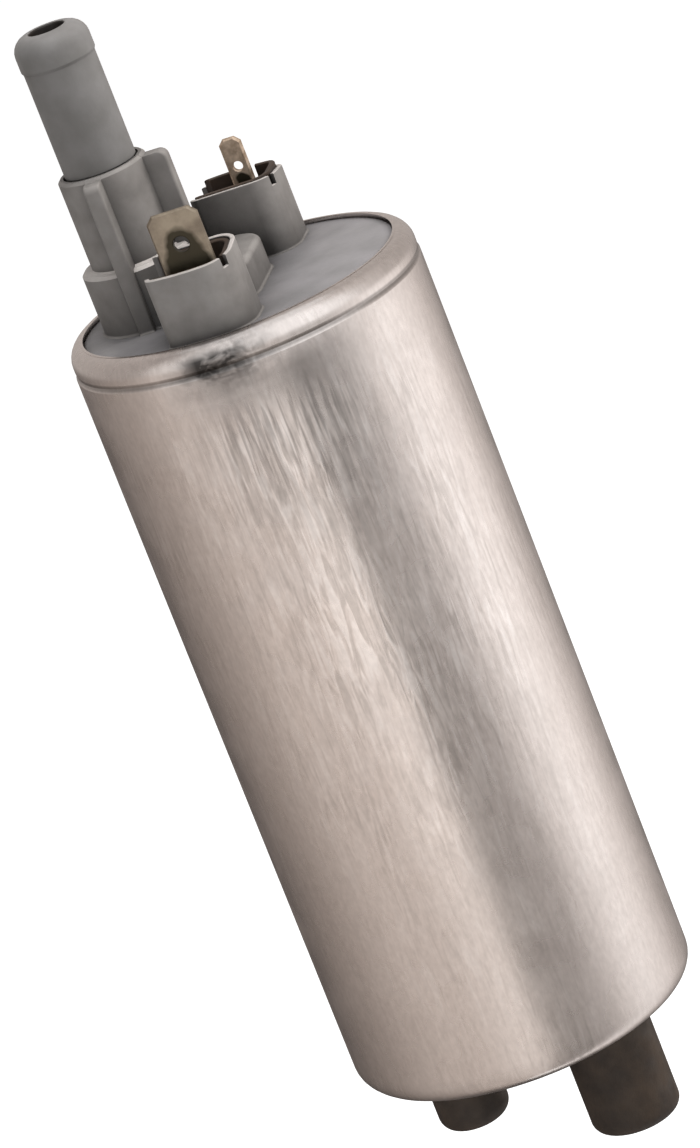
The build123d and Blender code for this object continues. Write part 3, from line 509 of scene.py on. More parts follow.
@dataclass(frozen=True)
class PlatedBlade(Finish):
    """Tin-plated brass, bright at its edges, darker in an arch from its hole to its foot.

    The arch has the given radius over the hole, and under it its legs widen by the spread,
    between two heights that are counted from the hole.
    """

    arch_colour: int = 0x3A3427
    hole_x: float = 0.0
    hole_height: float = 59.8
    arch: float = 1.85
    arch_edge: Point = (0.85, 1.2)
    spread: float = 0.9
    spread_heights: Point = (-3.0, 0.5)
    ragged: float = 0.2
    ragged_patch: float = 1.4

    def tone(self) -> Socket:
        """The plating's tone with the dark arch over it.

        Returns:
            The colour output.
        """
        place = position(self.tree)
        across = calculate(self.tree, "SUBTRACT", place["X"], self.hole_x)
        over = calculate(self.tree, "SUBTRACT", place["Z"], self.hole_height)
        above = calculate(self.tree, "MAXIMUM", over, 0.0)
        aside = calculate(self.tree, "MULTIPLY", across, across)
        reach = calculate(self.tree, "SQRT", calculate(self.tree, "MULTIPLY_ADD", above, above, aside))
        torn = self.noise(self.ragged_patch, 1.0)
        ragged = remap(self.tree, torn, NOISE_RANGE, (-self.ragged, self.ragged))
        legs = remap(self.tree, over, self.spread_heights, (-self.spread, 0.0))
        edge = together(self.tree, "ADD", reach, ragged, legs)
        inner, outer = (self.arch * share for share in self.arch_edge)
        return blend(self.tree, remap(self.tree, edge, (inner, outer)), linear(self.arch_colour), super().tone())


@dataclass(frozen=True)
class StackedSheets(Finish):
    """Stamped sheets stacked along Z, each edge a fine dark line."""

    pitch: float = 0.5
    edge_depth: float = 0.06
    edge_waver: float = 0.4
    # The wave texture turns by this many radians in one unit.
    wave_turn: float = 20.0

    def relief(self) -> Socket:
        """The bumped normal of the sheet edges.

        Returns:
            The normal output.
        """
        links = {"Vector": self.place(self.pitch), "Scale": tau / self.wave_turn}
        links["Distortion"] = self.edge_waver
        wave = add_node(self.tree, "ShaderNodeTexWave", links, bands_direction="Z").outputs["Fac"]
        return bumped(self.tree, wave, self.edge_depth)


# Bright drawn steel: satin, faintly warm, with wavy lines where the die pulled it.
STEEL = DrawnSteel("drawn_steel", 0xF0EAE7, 0xD0C9C5, 1.0, (0.22, 0.34), 9.0, 0.7, 0.004)
# Glass-filled nylon as moulded: a dull mid grey with a fine mottle, darkened by painted shade in its
# corners.
GREY_NYLON = Finish(
    "glass_filled_nylon", 0x918D8A, 0x7C7875, 0.0, (0.42, 0.58), 3.5, 0.5, 0.014,
    recess=10.0, recess_shade=0.12,
)
# The same nylon made pale as a painted highlight on the upward faces of rims and ledges.
RIM_HIGHLIGHT_NYLON = Finish("rim_highlight_nylon", 0xBAB4B0, 0xA5A09C, 0.0, (0.4, 0.5), 3.0, 0.5, 0.01)
# The cap's open face, smoother and paler than its walls, with painted shade where the towers stand.
DISC_NYLON = Finish(
    "disc_nylon", 0x928F91, 0x828081, 0.0, (0.4, 0.55), 5.0, 0.6, 0.02,
    recess=12.0, recess_shade=0.2,
)
# The nipple's nylon, turned smooth in its mould and a little duller than the cap.
NIPPLE_NYLON = Finish("nipple_nylon", 0x838180, 0x747270, 0.0, (0.4, 0.55), 4.0, 0.6, 0.02)
# Nylon painted nearly black inside the bore: painted shade of the bore.
BORE_SHADE_NYLON = Finish("bore_shade_nylon", 0x2A2421, 0x1A1614, 0.0, (0.35, 0.5), 2.0, 0.5, 0.01)
# The liners' brown nylon, whose dark colour partly stands in for the pockets' shade, made almost black by
# painted shade where they are deep.
LINER_NYLON = Finish("liner_nylon", 0x3C2D22, 0x251C15, 0.0, (0.45, 0.6), 4.0, 0.5, 0.012, recess=3.0)
# Rolled brass with a dull tin plate, as the wide blade has it.
BLADE_PLATE = PlatedBlade("tinned_brass", 0x9C907F, 0x7D7163, 0.7, (0.3, 0.46), 1.8, 0.4, 0.01)
# The same plate on the narrow blade, worn through to the brass in specks.
NARROW_PLATE = PlatedBlade(
    "tinned_brass_narrow", 0xE4CEB8, 0xA38D77, 0.7, (0.34, 0.5), 1.0, 0.4, 0.012,
    hole_x=1.25, hole_height=57.6, arch=0.7, spread=0.3,
)
# Hard-drawn spring wire: darker steel with faint die lines.
DRAWN_WIRE = Finish("drawn_wire", 0x9A9A9C, 0x77777A, 1.0, (0.28, 0.4), 3.0, 0.3, 0.004)
# Fine copper strands braided into a soft lead: bright, with the braid's ripple.
BRAIDED_COPPER = Finish("braided_copper", 0xC98A60, 0x8F5636, 1.0, (0.3, 0.45), 1.2, 0.25, 0.05)

# The finish of each material slot of the frame.
SLOT_FINISHES: dict[str, Finish] = {
    "can_steel": STEEL,
    # Moulded phenolic, brown-black and chalky.
    "stub_plastic": Finish("black_phenolic", 0x3E3125, 0x291F17, 0.0, (0.5, 0.68), 3.0, 0.6, 0.03),
    "cap_plastic": GREY_NYLON,
    "nipple_plastic": NIPPLE_NYLON,
    "liner_plastic": LINER_NYLON,
    "terminal_brass": BLADE_PLATE,
    # Ground and hardened steel of the shaft, pins and ball: almost a mirror.
    "bearing_steel": Finish("ground_steel", 0xC6C6C8, 0xADADB0, 1.0, (0.14, 0.24), 4.0, 0.4, 0.002),
    "spring_steel": DRAWN_WIRE,
    # Moulded nitrile rubber: matt black.
    "seal_rubber": Finish("nitrile_rubber", 0x1B1B1B, 0x121212, 0.0, (0.6, 0.75), 4.0, 0.4, 0.01),
    # Moulded acetal: cream and waxy.
    "slide_plastic": Finish("acetal", 0xD8D0BB, 0xC9C0A9, 0.0, (0.32, 0.42), 5.0, 0.6, 0.004),
    # Turned iron with a thin film of oil: dark grey, half dull.
    "pump_iron": Finish("turned_iron", 0x6E6C69, 0x53514E, 1.0, (0.35, 0.5), 5.0, 0.5, 0.008),
    # Sintered iron of the rotors: grey and finely pitted.
    "rotor_iron": Finish("sintered_iron", 0x7B7976, 0x5E5C5A, 1.0, (0.42, 0.55), 4.0, 0.35, 0.015),
    # Die-cast aluminium: pale with a soft cast skin.
    "pump_alloy": Finish("cast_aluminium", 0xB4B4B2, 0x9A9A98, 1.0, (0.4, 0.55), 6.0, 0.6, 0.015),
    # Sintered bronze full of oil: brown gold and porous.
    "bush_bronze": Finish("oiled_bronze", 0xA97F44, 0x7F5C2E, 1.0, (0.38, 0.5), 3.0, 0.35, 0.012),
    # Stamped electrical steel in a stack: dark, with a fine line at each sheet.
    "core_steel": StackedSheets("stacked_sheets", 0x565659, 0x3C3C3F, 1.0, (0.4, 0.55), 5.0, 0.5, 0.01),
    # Wound copper wire under clear enamel: deep red brown and glossy.
    "winding_copper": Finish(
        "enamelled_copper", 0xA4522A, 0x7A3819, 0.6, (0.25, 0.38), 2.0, 0.6, 0.05, (1.0, 1.0, 4.0)
    ),
    # Moulded resin of the commutator's hub: brown and half dull.
    "hub_plastic": Finish("moulded_resin", 0x4A3022, 0x342117, 0.0, (0.4, 0.55), 4.0, 0.5, 0.01),
    # Bare copper that the brushes have polished.
    "segment_copper": Finish("bare_copper", 0xC07A52, 0x9C5A38, 1.0, (0.26, 0.4), 3.0, 0.4, 0.006),
    # Sintered ferrite: charcoal grey and stony.
    "magnet_ferrite": Finish("sintered_ferrite", 0x323235, 0x232326, 0.0, (0.5, 0.65), 4.0, 0.4, 0.02),
    # Undyed nylon of the brush carrier: ivory and soft.
    "carrier_plastic": Finish("natural_nylon", 0xCFC8B4, 0xBDB59F, 0.0, (0.42, 0.56), 6.0, 0.5, 0.008),
    # Pressed carbon of the brushes: grey black with a faint gleam.
    "brush_carbon": Finish("pressed_carbon", 0x222224, 0x161618, 0.0, (0.45, 0.6), 2.5, 0.35, 0.015),
}


# Mesh helpers


# Points nearer to each other than this become one.
WELD = 1e-4
# How deep the foot of a wall stands in the disc under it.
SUNK = 0.3
WIRE_SIDES = 12
# The angles of a rounded quarter.
STEPS_90 = [radians(15 * i) for i in range(7)]


def arc(centre: Point, radius: float, start: float, end: float, steps: int) -> list[Point]:
    """Points along an arc from one angle in degrees to another, both ends included."""
    angles = [radians(start + (end - start) * i / steps) for i in range(steps + 1)]
    return [(centre[0] + radius * cos(a), centre[1] + radius * sin(a)) for a in angles]


def rounded(corners: Sequence[Triple], closed: bool = True, steps: int = 6) -> list[Point]:
    """Rounds the corners of a chain of straight runs.

    Args:
        corners: Place and rounding radius of each corner.
        closed: Whether the last corner joins the first one.
        steps: Chords in each rounded corner.

    Returns:
        The points of the rounded chain.
    """
    points: list[Point] = []
    for i, (x, y, radius) in enumerate(corners):
        if radius <= 0 or (not closed and i in (0, len(corners) - 1)):
            points.append((x, y))
            continue
        here = Vector((x, y))
        before = (Vector(corners[i - 1][:2]) - here).normalized()
        after = (Vector(corners[(i + 1) % len(corners)][:2]) - here).normalized()
        half = before.angle(after) / 2
        middle = here + (before + after).normalized() * (radius / sin(half))
        first = here + before * (radius / tan(half)) - middle
        last = here + after * (radius / tan(half)) - middle
        start = degrees(atan2(first.y, first.x))
        turn = (degrees(atan2(last.y, last.x)) - start + 180) % 360 - 180
        points += arc(tuple(middle), radius, start, start + turn, steps)
    return points


def circle(radius: float, height: float, centre: Point = (0, 0), count: int = 96) -> Ring:
    """A level ring of points."""
    return level(arc(centre, radius, 0, 360 - 360 / count, count - 1), height)


def level(outline: Sequence[Point], height: float) -> Ring:
    """An outline raised to a height."""
    return [Vector((x, y, height)) for x, y in outline]


def skin(rings: Sequence[Ring], joined: bool = False, ends: bool = True) -> Mesh:
    """Stretches faces over rings with equal numbers of points.

    Args:
        rings: The rings in order.
        joined: Whether the last ring joins the first one.
        ends: Whether the first and the last ring are closed with a face.

    Returns:
        The mesh, in millimetres, with outward faces and no doubled points.
    """
    mesh = bmesh.new()
    rows = [[mesh.verts.new(p) for p in ring] for ring in rings]
    pairs = list(zip(rows, rows[1:])) + ([(rows[-1], rows[0])] if joined else [])
    for low, high in pairs:
        for i in range(len(low)):
            mesh.faces.new((low[i - 1], low[i], high[i], high[i - 1]))
    if ends and not joined:
        mesh.faces.new(rows[0][::-1])
        mesh.faces.new(rows[-1])
    bmesh.ops.remove_doubles(mesh, verts=mesh.verts, dist=WELD)
    bmesh.ops.recalc_face_normals(mesh, faces=mesh.faces)
    return mesh


def lathe(
    profile: Sequence[Point], centre: Point = (0, 0), joined: bool = True, count: int = 96
) -> Mesh:
    """Turns a profile of radii and heights about an upright axis.

    Args:
        profile: Radius and height of each point.
        centre: Place of the axis.
        joined: Whether the profile is a loop; otherwise it starts and ends on the axis.
        count: Steps round the axis.

    Returns:
        The turned mesh.
    """
    rings = [circle(radius, height, centre, count) for radius, height in profile]
    return skin(rings, joined, ends=False)


def root_steps(radius: float) -> list[Point]:
    """Inset and height of the steps of a wall's foot, from inside the disc up its fillet."""
    fillet = [(-radius * (1 - sin(a)), radius * (1 - cos(a))) for a in STEPS_90]
    return [(-radius, -SUNK), *fillet]


def top_steps(radius: float) -> list[Point]:
    """Inset and drop of the steps of a rounded top edge, from the wall inwards."""
    return [(radius * (1 - cos(a)), radius * (1 - sin(a))) for a in STEPS_90]


def wire_ring(core: Vector, first: Vector, second: Vector, radius: float) -> Ring:
    """A ring of points round a wire's middle, in the plane of two directions across it."""
    around = [tau * i / WIRE_SIDES for i in range(WIRE_SIDES)]
    return [core + radius * (first * cos(a) + second * sin(a)) for a in around]


def cad_box(node: str) -> tuple[Vector, Vector]:
    """The lowest and highest corners of a CAD node, in millimetres."""
    low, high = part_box(node)
    return Vector(low) / MM, Vector(high) / MM


def mesh_data(name: str, mesh: Mesh) -> bpy.types.Mesh:
    """Writes a mesh in millimetres out as data in metres.

    Args:
        name: The data's name.
        mesh: The mesh, which is freed.

    Returns:
        The mesh data.
    """
    data = bpy.data.meshes.new(name)
    bmesh.ops.scale(mesh, vec=(MM, MM, MM), verts=mesh.verts)
    mesh.to_mesh(data)
    mesh.free()
    return data


def put(name: str, data: bpy.types.ID) -> bpy.types.Object:
    """Puts a new object with the given data into the scene.

    Args:
        name: The object's name.
        data: Its mesh, light or camera.

    Returns:
        The new object.
    """
    made = bpy.data.objects.new(name, data)
    bpy.context.scene.collection.objects.link(made)
    return made


@dataclass(frozen=True)
class Piece:
    """A finished piece of the pump, with what it stands for.

    Faces that the accented test picks, by their middle and their normal, take the accent finish.
    Every built piece rides on the housing.
    """

    name: str
    mesh: Mesh
    finish: Finish
    stands_for: str
    slot: str
    accent: Finish | None = None
    accented: Callable[[Vector, Vector], bool] | None = None

    def place(self, crease: float = 38.0) -> bpy.types.Object:
        """Puts the piece into the scene.

        Args:
            crease: Edges sharper than this many degrees stay crisp.

        Returns:
            The new object.
        """
        data = mesh_data(self.name, self.mesh)
        data.shade_smooth()
        data.set_sharp_from_angle(angle=radians(crease))
        data.materials.append(self.finish.material())
        if self.accent and self.accented:
            data.materials.append(self.accent.material())
            for face in data.polygons:
                face.material_index = int(self.accented(face.center / MM, face.normal))
        made = put(self.name, data)
        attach(made, "housing")
        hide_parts(self.stands_for)
        log.info("%s: %d faces", self.name, len(data.polygons))
        return made


# Sub-assemblies


@dataclass
class Can:
    """The drawn can with both ends rolled in and a stepped band under the upper roll.

    Slow waves run over the outer share of its wall. Fine puckers stand near the upper roll,
    deepest beside the rolling tool's smear, and the far share is what is left of them elsewhere.
    """

    radius: float = 21.5
    half_length: float = 49.3
    wall: float = 1.0
    outer_share: float = 0.8
    top_lip: float = 19.45
    bottom_lip: float = 18.4
    top_roll: float = 2.1
    bottom_roll: float = 2.6
    lip_round: float = 0.18
    band_height: float = 3.2
    band_depth: float = 0.12
    band_slope: float = 0.45
    band_start: float = 0.8
    shoulder_round: float = 0.4
    groove_depth: float = 0.1
    groove_round: float = 0.3
    row_pitch: float = 1.0
    wave_depth: float = 0.035
    wave_scales: Point = (3.1, 0.035)
    pucker_depth: float = 0.16
    pucker_scales: Point = (26.0, 0.35)
    pucker_heights: Point = (41.0, 47.5)
    pucker_far: float = 0.2
    smear_angle: float = -84.0
    smear_width: float = 16.0

    def profile(self) -> list[Point]:
        """The wall's profile, with rows along the outside for its small dents.

        Returns:
            A loop of radii and heights.
        """
        top, bottom, band = self.half_length, -self.half_length, self.radius - self.band_depth
        step = top - self.band_height
        rows = int((step + top - self.bottom_roll) / self.row_pitch)
        first = bottom + self.bottom_roll
        wall_rows = [(self.radius, first + self.row_pitch * i, 0.0) for i in range(1, rows)]
        return rounded([
            (self.radius - self.wall, bottom + self.wall, 0.0),
            (self.bottom_lip, bottom + self.wall, 0.0),
            (self.bottom_lip, bottom, self.lip_round),
            (self.radius, bottom, self.bottom_roll),
            *wall_rows,
            (self.radius, step - self.band_slope, self.shoulder_round),
            (band - self.groove_depth, step, self.groove_round),
            (band, step + self.band_slope, self.groove_round),
            (band, step + self.band_start, 0.0),
            (band, top, self.top_roll),
            (self.top_lip, top, self.lip_round),
            (self.top_lip, top - self.wall, 0.0),
            (self.radius - self.wall, top - self.wall, 0.0),
        ], steps=8)

    def uneven(self, point: Vector, scales: Point) -> float:
        """Soft noise from nought to one over the wall.

        Args:
            point: A point of the can in millimetres.
            scales: How fast it changes once round the can and in each millimetre along it.

        Returns:
            The noise's value.
        """
        across = Vector((point.x, point.y, 0)).normalized()
        return 0.5 + 0.5 * noise.noise(across * scales[0] + Vector((0, 0, point.z * scales[1])))

    def dent(self, point: Vector) -> float:
        """How deep the surface is pressed in at a point, in millimetres.

        Args:
            point: A point of the can in millimetres.

        Returns:
            The depth, never below nought.
        """
        angle = degrees(atan2(point.y, point.x))
        low, high = self.pucker_heights
        near_roll = max(0.0, min(1.0, (point.z - low) / (high - low)))
        smear = exp(-(((angle - self.smear_angle + 180) % 360 - 180) / self.smear_width) ** 2)
        puckers = near_roll * self.uneven(point, self.pucker_scales) * (self.pucker_far + smear)
        return self.wave_depth * self.uneven(point, self.wave_scales) + self.pucker_depth * puckers

    def build(self) -> None:
        """Builds the can and presses its small dents in."""
        mesh = lathe(self.profile(), count=240)
        outside = self.radius - self.outer_share * self.wall
        for vertex in mesh.verts:
            reach = hypot(vertex.co.x, vertex.co.y)
            if reach > outside:
                shrink = (reach - self.dent(vertex.co)) / reach
                vertex.co.x *= shrink
                vertex.co.y *= shrink
        Piece("can_shell", mesh, STEEL, "can", "can_steel").place()


@dataclass
class Cap:
    """The grey cap: skirt, disc and the low bridge between the housings."""

    disc_radius: float = 19.25
    disc_round: float = 0.2
    stack_radius: float = 20.45
    stack_round: float = 0.4
    shoulder: float = 48.3
    shoulder_round: float = 0.05
    skirt_bottom: float = 30.8
    skirt_round: float = 0.2
    bore: float = 18.0
    bore_round: float = 0.5
    plate: float = 3.5
    bridge_x: float = -1.1
    bridge_half_width: float = 4.55
    bridge_reach: float = 3.7
    bridge_height: float = 4.2
    bridge_round: float = 0.7
    root_fillet: float = 0.3

    def body(self) -> Mesh:
        """The disc and the skirt under it.

        Returns:
            The turned mesh.
        """
        ceiling = DISC_PLANE - self.plate
        return lathe(rounded([
            (0, ceiling, 0.0),
            (self.bore, ceiling, self.bore_round),
            (self.bore, self.skirt_bottom, self.skirt_round),
            (self.stack_radius, self.skirt_bottom, self.skirt_round),
            (self.stack_radius, self.shoulder, self.stack_round),
            (self.disc_radius, self.shoulder, self.shoulder_round),
            (self.disc_radius, DISC_PLANE, self.disc_round),
            (0, DISC_PLANE, 0.0),
        ], closed=False), joined=False, count=144)

    def bridge_outline(self, inset: float) -> list[Point]:
        """The bridge's outline, drawn in by an inset.

        Args:
            inset: Distance in from its side.

        Returns:
            The points in order.
        """
        radius = self.bridge_half_width - inset
        far = arc((self.bridge_x, self.bridge_reach), radius, 0, 180, 24)
        return far + arc((self.bridge_x, -self.bridge_reach), radius, 180, 360, 24)

    def bridge(self) -> Mesh:
        """The bridge with its rounded top edge and a fillet at its root.

        Returns:
            The mesh.
        """
        top = DISC_PLANE + self.bridge_height
        steps = [(inset, DISC_PLANE + z) for inset, z in root_steps(self.root_fillet)]
        steps += [(inset, top - drop) for inset, drop in top_steps(self.bridge_round)]
        return skin([level(self.bridge_outline(inset), z) for inset, z in steps])

    def build(self) -> None:
        """Builds the disc and the bridge."""
        Piece("cap_disc", self.body(), DISC_NYLON, "outlet_cap", "cap_plastic").place()
        Piece("cap_bridge", self.bridge(), GREY_NYLON, "outlet_cap", "cap_plastic").place()


@dataclass
class Tower:
    """The outlet tower with its three ribs and the stepped bore for the nipple and the valve.

    Each rib's root takes up some degrees of the wall, the lean, on both of its sides. A rib that
    hardly stands out keeps the least reach, and its roundings take no more than a share of it.
    """

    x: float = -10.05
    radius: float = 5.4
    base_radius: float = 6.8
    base_height: float = 7.6
    base_blend: float = 0.2
    ledge_reach: float = 0.5
    ledge_upward: float = 0.3
    root_fillet: float = 0.3
    height: float = 19.0
    rib_half: float = 1.0
    front_reach: float = 8.05
    side_reach: float = 7.4
    rib_round: float = 0.9
    rib_edge: float = 0.28
    rib_lean: float = 8.0
    rib_least: float = 0.05
    rib_share: float = 0.45
    web_fillet: float = 0.5
    edge: float = 0.35
    seam_radius: float = 4.65
    seam_depth: float = 0.6
    stem_bore: float = 4.01
    stem_seat: float = 11.0
    room_radius: float = 3.7
    room_floor: float = 4.98
    passage_radius: float = 2.2
    passage_floor: float = 0.3

    def rib(self, angle: float, radius: float, reach: float) -> list[Point]:
        """One rib's outline from its left root to its right root.

        Args:
            angle: The way the rib points, in degrees.
            radius: Radius of the tower at this level.
            reach: How far the rib's end is from the tower's axis.

        Returns:
            The points, turned to the rib's way.
        """
        foot = sqrt(radius ** 2 - self.rib_half ** 2)
        away = radians(self.rib_lean) + asin(self.rib_half / radius)
        end = max(reach, foot + self.rib_least)
        most = (end - foot) * self.rib_share
        half = [
            (radius * cos(away), radius * sin(away), 0.0),
            (foot, self.rib_half, 0.0),
            (foot + min(self.web_fillet, most), self.rib_half, 0.0),
            (end, self.rib_half, min(self.rib_edge, most)),
        ]
        chain = [(x, -y, size) for x, y, size in half] + half[::-1]
        c, s = cos(radians(angle)), sin(radians(angle))
        return [(x * c - y * s, x * s + y * c) for x, y in rounded(chain, closed=False, steps=4)]

    def outline(self, radius: float, front: float, side: float) -> list[Point]:
        """The tower's outline at one level.

        Args:
            radius: Radius of the round body.
            front: Reach of the rib that points to the inlet side.
            side: Reach of the two ribs beside it.

        Returns:
            A closed outline round the tower's axis, placed on the cap.
        """
        points: list[Point] = []
        ways = ((-90, side), (0, front), (90, side))
        spread = degrees(asin(self.rib_half / radius)) + self.rib_lean
        for i, (angle, reach) in enumerate(ways):
            points += self.rib(angle, radius, reach)
            end = ways[i + 1][0] if i < 2 else 270
            steps = 10 if i < 2 else 30
            points += arc((0, 0), radius, angle + spread, end - spread, steps)[1:-1]
        return [(self.x + x, y) for x, y in points]

    def ribbed(self, radius: float, drawn: float, z: float) -> Ring:
        """A ring of the tower at a height over the disc, its ribs drawn in from their full reach."""
        reaches = (self.front_reach - drawn, self.side_reach - drawn)
        return level(self.outline(radius, *reaches), DISC_PLANE + z)

    def mesh(self) -> Mesh:
        """The tower from its foot over its top and down its bore.

        Returns:
            The mesh.
        """
        at, rib_top = DISC_PLANE, self.height - self.edge
        rings = [self.ribbed(self.base_radius - i, i, z) for i, z in root_steps(self.root_fillet)]
        rings += [
            self.ribbed(self.base_radius, 0.0, self.base_height - self.edge),
            self.ribbed(self.base_radius - self.edge, 0.0, self.base_height),
            self.ribbed(self.radius + self.base_blend, 0.0, self.base_height),
            self.ribbed(self.radius, 0.0, self.base_height + self.base_blend),
        ]
        rings += [self.ribbed(self.radius, i, rib_top - drop) for i, drop in top_steps(self.rib_round)]
        rings.append(level(self.outline(self.radius, 0.0, 0.0), at + rib_top))
        rings.append(level(self.outline(self.radius - self.edge, 0.0, 0.0), at + self.height))
        bore = [
            (self.seam_radius, self.height),
            (self.seam_radius, self.height - self.seam_depth),
            (self.stem_bore, self.height - self.seam_depth),
            (self.stem_bore, self.stem_seat),
            (self.room_radius, self.stem_seat),
            (self.room_radius, self.room_floor),
            (self.passage_radius, self.room_floor),
            (self.passage_radius, self.passage_floor),
        ]
        top = rings[-1]
        ways = [atan2(p.y, p.x - self.x) for p in top]
        for r, z in bore:
            rings.append([Vector((self.x + r * cos(w), r * sin(w), at + z)) for w in ways])
        return skin(rings)

    def build(self) -> None:
        """Builds the tower."""
        ledge = DISC_PLANE + self.base_height
        # Painted highlight: the upward faces of the ledge take the pale finish that stands in for light from
        # above.
        Piece(
            "cap_tower", self.mesh(), GREY_NYLON, "outlet_cap", "cap_plastic", RIM_HIGHLIGHT_NYLON,
            lambda middle, way: way.z > self.ledge_upward and abs(middle.z - ledge) < self.ledge_reach,
        ).place()


@dataclass
class Nipple:
    """The nipple: a tube with a rounded bead, pressed into the tower."""

    x: float = -10.05
    radius: float = 4.4
    foot_round: float = 0.12
    neck_round: float = 0.15
    stem_radius: float = 4.0
    stem_round: float = 0.2
    stem_seat: float = 11.0
    tower_height: float = 19.0
    top: float = 36.35
    bead_radius: float = 4.58
    bead_height: float = 4.2
    bead_blend: float = 0.35
    bead_foot_round: float = 0.25
    bead_round: float = 2.05
    bore: float = 2.15
    mouth_round: float = 0.25
    bore_shade_margin: float = 0.12
    pocket_radius: float = 3.2
    pocket_round: float = 0.1
    pocket_depth: float = 5.5

    def build(self) -> None:
        """Builds the nipple."""
        bead = self.top - self.bead_height
        shoulder = self.stem_seat + self.pocket_depth
        profile = rounded([
            (self.pocket_radius, self.stem_seat, self.pocket_round),
            (self.stem_radius, self.stem_seat, self.stem_round),
            (self.stem_radius, self.tower_height, 0.0),
            (self.radius, self.tower_height, self.foot_round),
            (self.radius, bead, self.neck_round),
            (self.bead_radius, bead + self.bead_blend, self.bead_foot_round),
            (self.bead_radius, self.top, self.bead_round),
            (self.bore, self.top, self.mouth_round),
            (self.bore, shoulder, self.pocket_round),
            (self.pocket_radius, shoulder, self.pocket_round),
        ])
        raised = [(radius, DISC_PLANE + z) for radius, z in profile]
        mesh = lathe(raised, (self.x, 0.0))
        # Painted shade: the faces inside the bore take a near-black finish that stands in for the bore's
        # shade.
        Piece(
            "nipple_tube", mesh, NIPPLE_NYLON, "outlet_nipple", "nipple_plastic", BORE_SHADE_NYLON,
            lambda middle, way: hypot(middle.x - self.x, middle.y) < self.bore + self.bore_shade_margin,
        ).place()


class Rim(Enum):
    """How high a stretch of a housing's rim stands."""

    SLANT = "slant"
    NOTCH = "notch"
    CUT = "cut"
    LOW = "low"


class Corner(Enum):
    """The corner of a housing that its notch is in."""

    INNER = "inner"
    OUTER = "outer"


RimPoints = list[tuple[float, float, Rim]]


